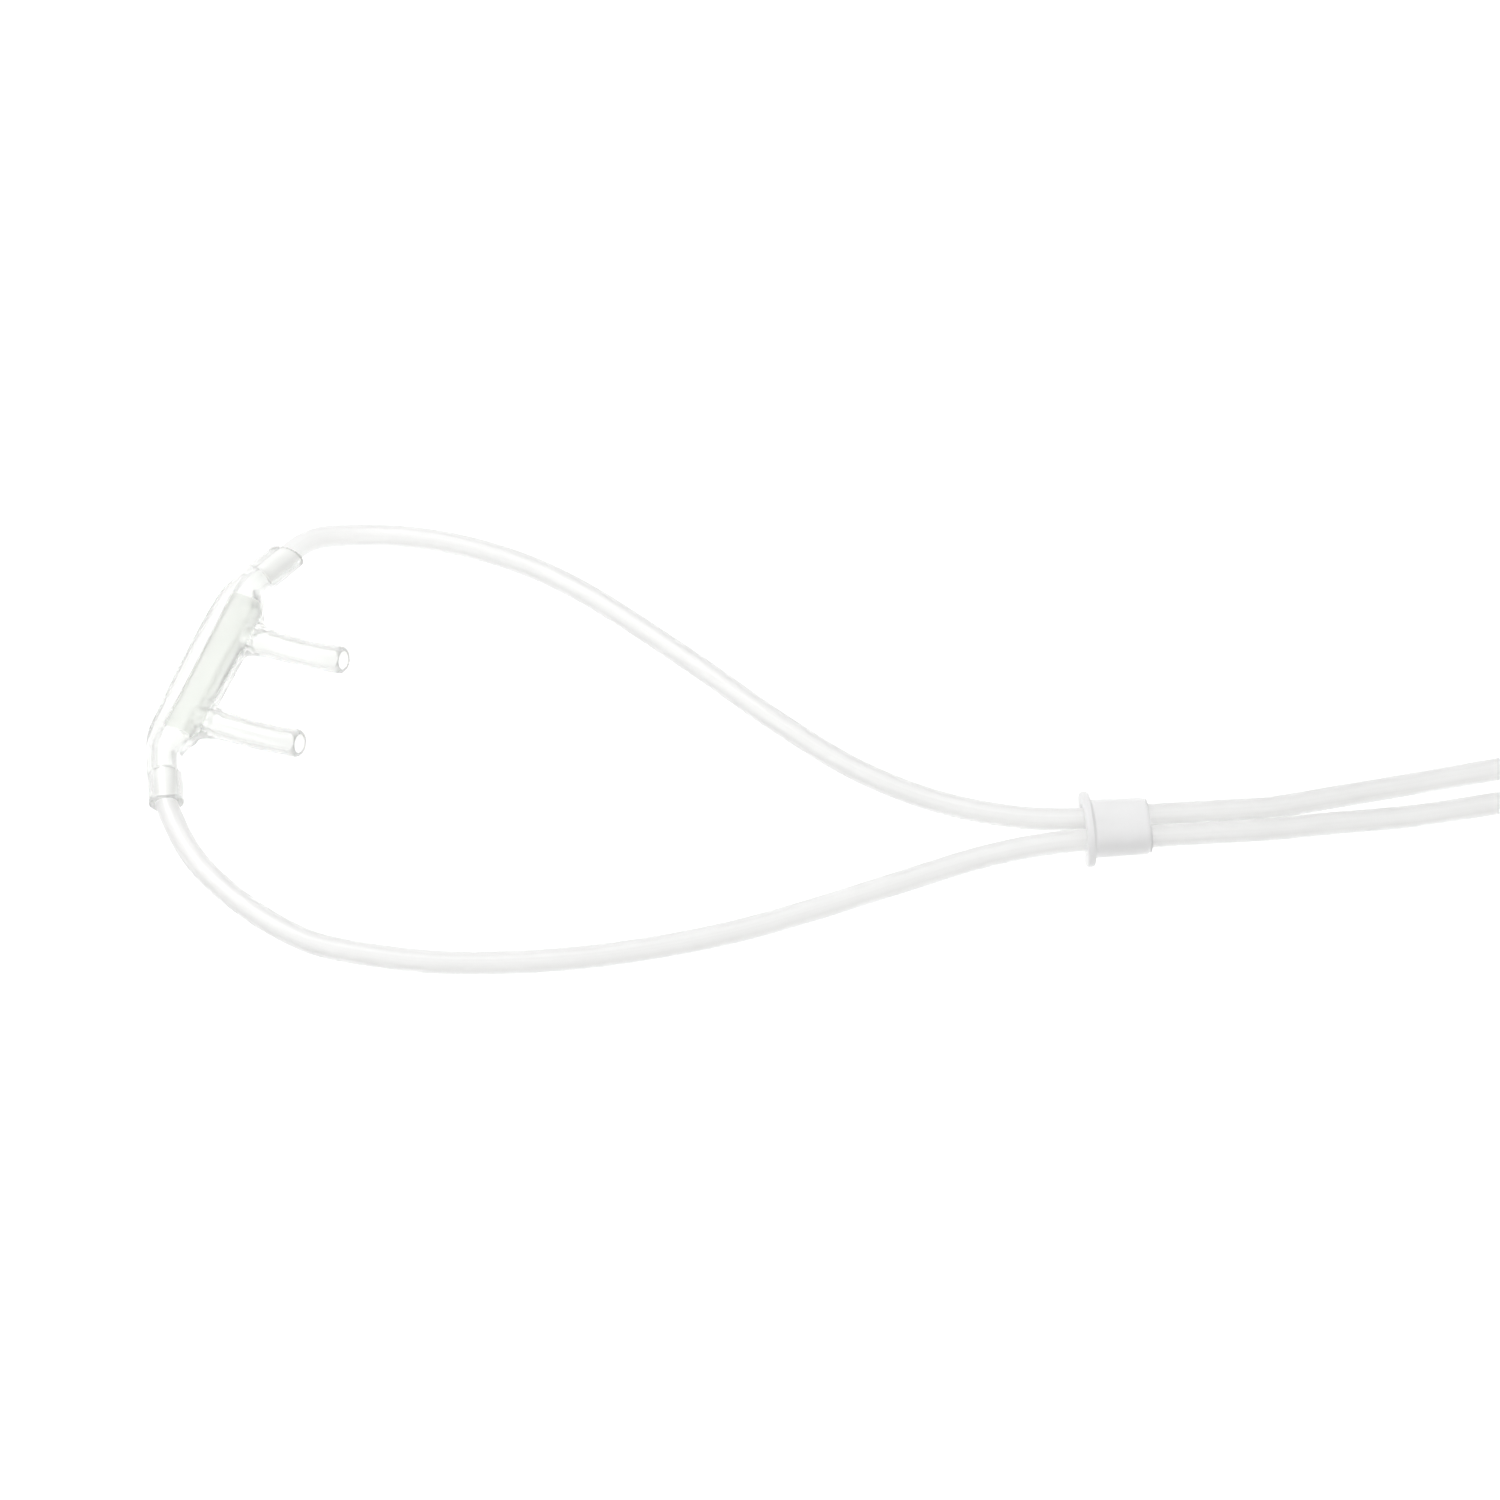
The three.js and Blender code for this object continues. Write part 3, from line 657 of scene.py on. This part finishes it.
def oval(wide, tall):
    return lambda a: wide * tall / 2 / math.hypot(tall * math.cos(a), wide * math.sin(a))


def slot(spacing, radius):
    """A long hole with round ends, as a radius for each direction."""
    def reach(a):
        flat = radius / max(1e-6, abs(math.sin(a)))
        if flat * abs(math.cos(a)) <= spacing / 2:
            return flat
        half = spacing / 2
        return half * abs(math.cos(a)) + math.sqrt(radius ** 2 - (half * math.sin(a)) ** 2)
    return reach


def rounded(x0, x1, wide, tall, edge, steps=4, start=True, end=True):
    """Stations of an oval disc whose rims are rounded by an edge radius."""
    stations = []
    for i in range(steps + 1) if start else ():
        turn = math.pi / 2 * i / steps
        inset = edge * (1 - math.sin(turn)) * 2
        stations.append((x0 + edge * (1 - math.cos(turn)), oval(wide - inset, tall - inset)))
    for i in range(steps + 1) if end else ():
        turn = math.pi / 2 * i / steps
        inset = edge * (1 - math.cos(turn)) * 2
        stations.append((x1 - edge * (1 - math.sin(turn)), oval(wide - inset, tall - inset)))
    return stations


flange_end = FLANGE[2]
slider_end = flange_end + SLEEVE[2]
FILLET = 0.5
FLANGE_EDGE = 0.45
SLEEVE_EDGE = 0.9
SLEEVE_DRAFT = 0.3
HOLE_EDGE = 0.12


def hole(extra=0.0):
    return slot(TUBE_SPACING, SLOT_RADIUS + extra)


slider_stations = rounded(0, flange_end, FLANGE[0], FLANGE[1], FLANGE_EDGE)
for i in range(5):
    turn = math.pi / 2 * i / 4
    spare = 2 * FILLET * (1 - math.sin(turn))
    reach = flange_end + FILLET * (1 - math.cos(turn))
    slider_stations.append((reach, oval(SLEEVE[0] + spare, SLEEVE[1] + spare)))
slider_stations += [(flange_end + 4, oval(SLEEVE[0] - 0.1, SLEEVE[1] - 0.1))]
end_width, end_height = SLEEVE[0] - SLEEVE_DRAFT, SLEEVE[1] - SLEEVE_DRAFT
slider_stations += rounded(0, slider_end, end_width, end_height, SLEEVE_EDGE, start=False)
slider_stations += [
    (slider_end, hole(0.5)), (slider_end - HOLE_EDGE, hole(HOLE_EDGE)), (slider_end - 0.5, hole()),
    (slider_end / 2, hole()), (0.5, hole()), (HOLE_EDGE, hole(HOLE_EDGE)), (0.0, hole(0.5))]
slider_piece = loft("slider_sleeve", slider_matrix, slider_stations, 72, closed=True)
show_facts(slider_piece)

# %% [markdown]
# ## The Y connector
#
# Both fine tubes end in one small moulding, and the supply tube comes out of its other end. The outside
# eases from a flat oval over two sockets to a round neck over one. It is lofted, and the sockets and the
# passage between them are cut out, because a loft can't turn one hole into two.

# %% Make the Y connector
JOINER_PLACE = Vector((0.282, -0.1024, 0.00395))
JOINER_LENGTH = 26.0
SOCKET_SPACING = 5.2
SOCKET_DEPTH = 6.5
PAIR_HEIGHT = 6.2
JOINER_OUTER = 7.9
joiner_matrix = Matrix.Translation(JOINER_PLACE) @ Matrix.Rotation(math.pi, 4, "Z") @ Matrix.Scale(0.001, 4)


def joiner_stations():
    """The outside, with a rolled bead at each mouth and a waist between."""
    stations = []
    steps = 40
    for i in range(steps + 1):
        x = JOINER_LENGTH * i / steps
        share = ease((x - SOCKET_DEPTH - 0.5) / (JOINER_LENGTH - 2 * SOCKET_DEPTH - 1))
        wide = (SOCKET_SPACING + PAIR_HEIGHT + 0.6) * (1 - share) + (JOINER_OUTER - 0.5) * share
        tall = (PAIR_HEIGHT + 0.5) * (1 - share) + (JOINER_OUTER - 0.5) * share
        bead = math.exp(-((x - 0.9) / 0.7) ** 2) + math.exp(-((JOINER_LENGTH - x - 0.9) / 0.7) ** 2)
        rim = 0.5 * max(0.0, 1 - min(x, JOINER_LENGTH - x) / 0.4)
        stations.append((x, oval(wide + 0.5 * bead - rim, tall + 0.5 * bead - rim)))
    return stations


joiner_piece = loft("y_connector_body", joiner_matrix, joiner_stations(), 56)
SOCKET_SLACK = 0.05
PASSAGE, MIDDLE_PASSAGE = 1.2, 1.7
supply_socket = JOINER_LENGTH - SOCKET_DEPTH
for side in (-1, 1):
    y = side * SOCKET_SPACING / 2
    for start, end, radius in (((-1, y, 0), (SOCKET_DEPTH - 0.4, y, 0), LUMEN_WIDTH * 500 + SOCKET_SLACK),
                               ((SOCKET_DEPTH - 0.5, y, 0), (supply_socket - 3, side * 0.4, 0), PASSAGE)):
        carve(joiner_piece, rod(joiner_matrix, start, end, radius))
for start, end, radius in ((supply_socket - 5, supply_socket + 0.6, MIDDLE_PASSAGE),
                           (supply_socket + 0.3, JOINER_LENGTH + 1, SUPPLY_WIDTH * 500 + SOCKET_SLACK)):
    carve(joiner_piece, rod(joiner_matrix, (start, 0, 0), (end, 0, 0), radius))
show_facts(joiner_piece)

# %% [markdown]
# ## The end connector
#
# The far end of the supply tube carries a soft funnel that is pushed onto the oxygen outlet's barb. Its
# taper grips barbs of many sizes, and ribs on the outside give the fingers a hold. It is a turned shape, so
# a closed loft with round rings makes it, and the ribs are a small wave in the rings' radius.

# %% Make the funnel
FUNNEL_PLACE = Vector((0.280, -0.041, 0.029))
FUNNEL_LENGTH = 38.0
funnel_turn = Matrix.Rotation(-math.pi / 2, 4, "Z") @ Matrix.Scale(0.001, 4)
funnel_matrix = Matrix.Translation(FUNNEL_PLACE) @ funnel_turn
FUNNEL_RIBS = 14


NECK_END, MOUTH_START = 10.0, 36.0
NECK_RADIUS, MOUTH_RADIUS = 4.1, 6.0


def funnel_outside(x):
    if x < NECK_END:
        return NECK_RADIUS
    share = ease((x - NECK_END) / (MOUTH_START - NECK_END)) ** 0.85
    return NECK_RADIUS + (MOUTH_RADIUS - NECK_RADIUS) * share


def ribbed(radius, depth):
    return lambda a: radius + depth * max(0.0, math.cos(FUNNEL_RIBS * a)) ** 2 - depth


RIB_DEPTH = 0.32
RIB_START, RIB_END = 13.0, 34.5
small_lip = [(0.0, 3.7), (0.15, 3.98), (0.5, 4.1)]
mouth_lip = [(35.6, 5.9), (36.2, 6.0), (37.4, 6.0), (37.85, 5.85), (38.0, 5.5), (38.0, 4.9), (37.7, 4.65)]
taper_bore = [(36.0, 4.5), (26.0, 3.95), (14.2, 3.3), (13.4, 2.6), (13.0, 2.0), (9.6, 2.0)]
tube_socket = [(9.4, 2.2), (9.4, 2.75), (9.0, 2.75), (0.4, 2.75), (0.0, 3.0)]
funnel_stations = [(x, ribbed(radius, 0)) for x, radius in small_lip]
for i in range(1, 46):
    x = 0.5 + 34.5 * i / 45
    depth = RIB_DEPTH * ease((x - RIB_START) / 3) * ease((RIB_END - x) / 2)
    funnel_stations.append((x, ribbed(funnel_outside(x) - 0.05 * (depth > 0), depth)))
funnel_stations += [(x, ribbed(radius, 0)) for x, radius in mouth_lip + taper_bore + tube_socket]
funnel_piece = loft("oxygen_funnel", funnel_matrix, funnel_stations, 112, closed=True)
show_facts(funnel_piece)

# %% [markdown]
# ## The tie
#
# A thin band holds the wound tube for storage. It wraps round the whole bundle of turns and its corners
# follow the outermost tubes. A ribbon of rings along a rounded rectangle gives it a real thickness.

# %% Make the tie
TIE_ANGLE = math.radians(300)
TIE_WIDTH = 6.0
TIE_THICKNESS = 0.4
TIE_CORNER = 2.6
tie_inner, tie_outer, tie_top = 15.1, 38.7, 23.4
tie_turn = Matrix.Rotation(TIE_ANGLE, 4, "Z") @ Matrix.Scale(0.001, 4)
tie_matrix = Matrix.Translation(COIL_CENTRE / 1000) @ tie_turn


def tie_path():
    """Points and outward directions along the middle of the band, in its own upright plane."""
    half = TIE_THICKNESS / 2
    x0, x1, z0, z1 = tie_inner + half, tie_outer - half, half, tie_top - half
    corners = ((x1, z1, 0), (x0, z1, 90), (x0, z0, 180), (x1, z0, 270))
    path = []
    for x, z, turn in corners:
        cx = x - TIE_CORNER if x == x1 else x + TIE_CORNER
        cz = z - TIE_CORNER if z == z1 else z + TIE_CORNER
        for i in range(9):
            a = math.radians(turn + 90 * i / 8)
            dx, dz = math.cos(a), math.sin(a)
            path.append((cx + TIE_CORNER * dx, cz + TIE_CORNER * dz, dx, dz))
    return path


def make_tie():
    rings = []
    half = TIE_THICKNESS / 2
    wide = TIE_WIDTH / 2
    section = [(half, -wide + 0.1), (half, wide - 0.1), (half * 0.5, wide), (-half * 0.5, wide),
               (-half, wide - 0.1), (-half, -wide + 0.1), (-half * 0.5, -wide), (half * 0.5, -wide)]
    for x, z, nx, nz in tie_path():
        rings.append([tie_matrix @ Vector((x + nx * out, y, z + nz * out)) for out, y in section])
    return skin("storage_tie", rings, closed=True)


tie_piece = make_tie()
show_facts(tie_piece)

# %% [markdown]
# ## Effects that several plastics share
#
# Two small effects do most of the work, so each is a node group that is built once. Drawn lines run along
# a tube, because the vinyl was pulled through a die. Moulded haze is the soft unevenness of vinyl that
# cooled against steel. Both put out a height for a Bump node and a mask for colour and roughness.

# %% Build the shared groups
def new_group(name, inputs, outputs):
    group = bpy.data.node_groups.new(name, "ShaderNodeTree")
    for socket, value in inputs:
        item = group.interface.new_socket(socket, in_out="INPUT", socket_type="NodeSocketFloat")
        item.default_value = value
    for socket in outputs:
        group.interface.new_socket(socket, in_out="OUTPUT", socket_type="NodeSocketFloat")
    return group, group.nodes.new("NodeGroupInput"), group.nodes.new("NodeGroupOutput")


def maths(tree, operation, a, b):
    node = tree.nodes.new("ShaderNodeMath")
    node.operation = operation
    for socket, value in zip(node.inputs, (a, b)):
        if isinstance(value, bpy.types.NodeSocket):
            tree.links.new(value, socket)
        else:
            socket.default_value = value
    return node.outputs[0]


def drawn_lines():
    """Fine lines round the section that drift slowly along the length."""
    group, given, made = new_group("drawn_lines", [("Lines", 24.0), ("Drift", 0.05)], ["Height", "Mask"])
    uv = group.nodes.new("ShaderNodeUVMap")
    uv.uv_map = "run"
    parts = group.nodes.new("ShaderNodeSeparateXYZ")
    group.links.new(uv.outputs["UV"], parts.inputs[0])
    place = group.nodes.new("ShaderNodeCombineXYZ")
    turn = maths(group, "MULTIPLY", parts.outputs[0], 2 * math.pi)
    for axis, operation in ((0, "COSINE"), (1, "SINE")):
        wave = maths(group, operation, turn, 0.0)
        group.links.new(maths(group, "MULTIPLY", wave, given.outputs["Lines"]), place.inputs[axis])
    group.links.new(maths(group, "MULTIPLY", parts.outputs[1], given.outputs["Drift"]), place.inputs[2])
    texture = group.nodes.new("ShaderNodeTexNoise")
    texture.inputs["Scale"].default_value = 1.0
    texture.inputs["Detail"].default_value = 2.0
    group.links.new(place.outputs[0], texture.inputs["Vector"])
    group.links.new(texture.outputs["Fac"], made.inputs["Height"])
    spread = maths(group, "SUBTRACT", texture.outputs["Fac"], 0.5)
    group.links.new(maths(group, "ADD", maths(group, "MULTIPLY", spread, 2.2), 0.5), made.inputs["Mask"])
    return group


def moulded_haze():
    """Soft unevenness of a moulded surface, with a finer haze on it."""
    group, given, made = new_group("moulded_haze", [("Scale", 300.0), ("Fine", 0.3)], ["Height", "Mask"])
    place = group.nodes.new("ShaderNodeTexCoord")
    textures = []
    for factor in (1.0, 7.0):
        texture = group.nodes.new("ShaderNodeTexNoise")
        texture.inputs["Detail"].default_value = 3.0
        group.links.new(place.outputs["Object"], texture.inputs["Vector"])
        group.links.new(maths(group, "MULTIPLY", given.outputs["Scale"], factor), texture.inputs["Scale"])
        textures.append(texture.outputs["Fac"])
    fine = maths(group, "MULTIPLY", textures[1], given.outputs["Fine"])
    group.links.new(maths(group, "ADD", textures[0], fine), made.inputs["Height"])
    group.links.new(textures[0], made.inputs["Mask"])
    return group


drawn_lines_group = drawn_lines()
moulded_haze_group = moulded_haze()
print("groups", drawn_lines_group.name, moulded_haze_group.name)

# %% [markdown]
# ## Clear and milky plastics
#
# Soft vinyl is clear in a thin wall and grey-green in a thick one, so the tint is an absorption inside the
# volume rather than a surface colour: edges, where the light's path is long, come out darker by themselves.
# The surface is a little rough, which blurs the table seen through it. The slider's plastic is the same
# idea with more haze. Each plastic has its own numbers and the same two groups. Clear walls should hardly
# darken the table, and a path tracer blocks their shadow rays, so a Light Path node lets most of those
# rays through.

# %% Make a plastic
BUMP_DEPTH = 0.0002
LINE_COUNT = 5.0
LINE_DRIFT = 0.06
DARKER = 0.94
PANEL_ROUGHNESS = 0.25


def plastic(name, slot_name, base, transmission, roughness, ior, tint, density,
            lines=0.0, haze=0.0, scale=300.0, clearness=0.9, panel=None):
    """A plastic, with the slot name passed back; clearness is the shadow light let through, panel a matt area's
    colour.
    """
    material = bpy.data.materials.new(name)
    material.use_nodes = True
    tree = material.node_tree
    shader = tree.nodes["Principled BSDF"]
    output = tree.nodes["Material Output"]
    shader.inputs["Transmission Weight"].default_value = transmission
    shader.inputs["IOR"].default_value = ior
    height, mask = None, None
    if lines:
        group = tree.nodes.new("ShaderNodeGroup")
        group.node_tree = drawn_lines_group
        group.inputs["Lines"].default_value = LINE_COUNT
        group.inputs["Drift"].default_value = LINE_DRIFT
        height, mask, strength = group.outputs["Height"], group.outputs["Mask"], lines
    if haze:
        group = tree.nodes.new("ShaderNodeGroup")
        group.node_tree = moulded_haze_group
        group.inputs["Scale"].default_value = scale
        height, mask, strength = group.outputs["Height"], group.outputs["Mask"], haze
    bump = tree.nodes.new("ShaderNodeBump")
    bump.inputs["Distance"].default_value = BUMP_DEPTH
    bump.inputs["Strength"].default_value = strength
    tree.links.new(height, bump.inputs["Height"])
    tree.links.new(bump.outputs["Normal"], shader.inputs["Normal"])
    rough = tree.nodes.new("ShaderNodeMapRange")
    rough.inputs["To Min"].default_value = roughness * 0.8
    rough.inputs["To Max"].default_value = roughness * 1.25
    tree.links.new(mask, rough.inputs["Value"])
    finish = rough.outputs["Result"]
    shade = tree.nodes.new("ShaderNodeMix")
    shade.data_type = "RGBA"
    shade.inputs["A"].default_value = (*(DARKER * c for c in base), 1)
    shade.inputs["B"].default_value = (*base, 1)
    tree.links.new(mask, shade.inputs["Factor"])
    colour = shade.outputs["Result"]
    if panel:
        painted_mask = tree.nodes.new("ShaderNodeAttribute")
        painted_mask.attribute_name = "panel"
        flat = tree.nodes.new("ShaderNodeMix")
        flat.data_type = "RGBA"
        flat.inputs["B"].default_value = (*panel, 1)
        tree.links.new(painted_mask.outputs["Fac"], flat.inputs["Factor"])
        tree.links.new(colour, flat.inputs["A"])
        colour = flat.outputs["Result"]
        extra = maths(tree, "MULTIPLY", painted_mask.outputs["Fac"], PANEL_ROUGHNESS)
        finish = maths(tree, "ADD", finish, extra)
    tree.links.new(finish, shader.inputs["Roughness"])
    tree.links.new(colour, shader.inputs["Base Color"])
    path = tree.nodes.new("ShaderNodeLightPath")
    let_through = maths(tree, "MULTIPLY", path.outputs["Is Shadow Ray"], clearness)
    tree.links.new(maths(tree, "SUBTRACT", 1.0, let_through), shader.inputs["Alpha"])
    if density:
        absorb = tree.nodes.new("ShaderNodeVolumeAbsorption")
        absorb.inputs["Color"].default_value = (*tint, 1)
        absorb.inputs["Density"].default_value = density
        tree.links.new(absorb.outputs["Volume"], output.inputs["Volume"])
    return material, slot_name


tube_vinyl, tube_slot = plastic(
    "clear_tube_vinyl", "clear_vinyl", (0.945, 0.945, 0.94), 0.58, 0.35, 1.40,
    (0.77, 0.79, 0.77), 16.0, lines=0.08)
nose_vinyl, nose_slot = plastic(
    "moulded_nose_vinyl", "nose_vinyl", (0.94, 0.945, 0.935), 0.76, 0.19, 1.40,
    (0.74, 0.77, 0.73), 20.0, haze=0.25, scale=180.0, panel=(0.75, 0.765, 0.735))
milky_plastic, milky_slot = plastic(
    "milky_plastic", "milky_plastic", (0.95, 0.95, 0.95), 0.18, 0.32, 1.45,
    (0.9, 0.91, 0.9), 10.0, haze=0.12, scale=260.0)
tie_film, tie_slot = plastic(
    "tie_film", "tie_film", (0.88, 0.88, 0.87), 0.25, 0.45, 1.45,
    (1, 1, 1), 0.0, haze=0.3, scale=500.0, clearness=0.3)
for piece, material, slot_name in (
        (left_tube, tube_vinyl, tube_slot), (right_tube, tube_vinyl, tube_slot),
        (supply_tube, tube_vinyl, tube_slot), (nose_piece, nose_vinyl, nose_slot),
        (slider_piece, milky_plastic, milky_slot), (joiner_piece, milky_plastic, milky_slot),
        (funnel_piece, milky_plastic, milky_slot), (tie_piece, tie_film, tie_slot)):
    piece.data.materials.clear()
    piece.data.materials.append(material)
print("plastics", tube_vinyl.name, nose_vinyl.name, milky_plastic.name, tie_film.name)

# %% [markdown]
# ## What each piece stands for
#
# Every skin replaces its construction solids and moves with their body.

# %% Bind pieces to the frame
for piece, body, nodes in (
        (nose_piece, "cannula", ["nose_piece"]), (joiner_piece, "cannula", ["y_connector"]),
        (funnel_piece, "cannula", ["end_connector"]), (tie_piece, "cannula", ["coil_tie"]),
        (slider_piece, "slider", ["slider"]), (left_tube, "cannula", ["left_tube"]),
        (right_tube, "cannula", ["right_tube"]),
        (supply_tube, "cannula", ["supply_lead", "supply_coil", "supply_tail"])):
    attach(piece, body)
    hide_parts(*nodes)

# %% [markdown]
# ## Table and light
#
# Clear things are lit by what is behind them. The photograph's table is a light table: it glows white, so
# there are no shadows and the tubes show as pale grey bands with a thin darker rim. The floor here glows a
# little and also takes light from soft lamps. The sky is bright overhead and darker towards the horizon,
# which is what a rim of clear plastic mirrors.

# %% Lay the floor
FLOOR_HALF = 3.0
FLOOR_DROP = 0.00002
FLOOR_GREY = 0.45
FLOOR_GLOW = 0.70
floor_mesh = bpy.data.meshes.new("pale_floor")
floor_corners = [(x * FLOOR_HALF, y * FLOOR_HALF, 0) for x, y in ((-1, -1), (1, -1), (1, 1), (-1, 1))]
floor_mesh.from_pydata(floor_corners, [], [(0, 1, 2, 3)])
floor = bpy.data.objects.new("pale_floor", floor_mesh)
floor.location.z = -FLOOR_DROP
bpy.context.scene.collection.objects.link(floor)
floor_paint = bpy.data.materials.new("light_table")
floor_paint.use_nodes = True
floor_shader = floor_paint.node_tree.nodes["Principled BSDF"]
floor_shader.inputs["Base Color"].default_value = (FLOOR_GREY, FLOOR_GREY, FLOOR_GREY, 1)
floor_shader.inputs["Roughness"].default_value = 0.9
floor_shader.inputs["Specular IOR Level"].default_value = 0.0
floor_shader.inputs["Emission Color"].default_value = (1, 1, 1, 1)
floor_shader.inputs["Emission Strength"].default_value = FLOOR_GLOW
floor_mesh.materials.append(floor_paint)

# %% Light the sky and hang the lamps
world = bpy.data.worlds.new("studio")
world.use_nodes = True
bpy.context.scene.world = world
sky = world.node_tree
sky_place = sky.nodes.new("ShaderNodeTexCoord")
sky_parts = sky.nodes.new("ShaderNodeSeparateXYZ")
sky_ramp = sky.nodes.new("ShaderNodeValToRGB")
sky.links.new(sky_place.outputs["Generated"], sky_parts.inputs[0])
sky.links.new(sky_parts.outputs[2], sky_ramp.inputs[0])
sky.links.new(sky_ramp.outputs[0], sky.nodes["Background"].inputs["Color"])
SKY_STOPS = ((0.05, 0.12), (0.45, 0.64))
for element, (height, grey) in zip(sky_ramp.color_ramp.elements, SKY_STOPS):
    element.position = height
    element.color = (grey, grey, grey, 1)


def soft_lamp(name, place, size, power):
    lamp = bpy.data.objects.new(name, bpy.data.lights.new(name, "AREA"))
    lamp.data.shape = "RECTANGLE"
    lamp.data.size, lamp.data.size_y = size
    lamp.data.energy = power
    lamp.location = place
    lamp.rotation_euler = (AIM - Vector(place)).to_track_quat("-Z", "Y").to_euler()
    bpy.context.scene.collection.objects.link(lamp)


soft_lamp("key", (-0.25, 0.25, 0.7), (0.4, 0.3), 2.9)
soft_lamp("fill", (0.7, -0.5, 1.0), (0.8, 0.8), 1.2)
bpy.context.scene.view_settings.view_transform = "Standard"

# %% [markdown]
# ## Last update
#
# The view layer is brought up to date once more. The dressed model has to stay inside the
# construction model's box.

# %% Bring the scene up to date
bpy.context.view_layer.update()
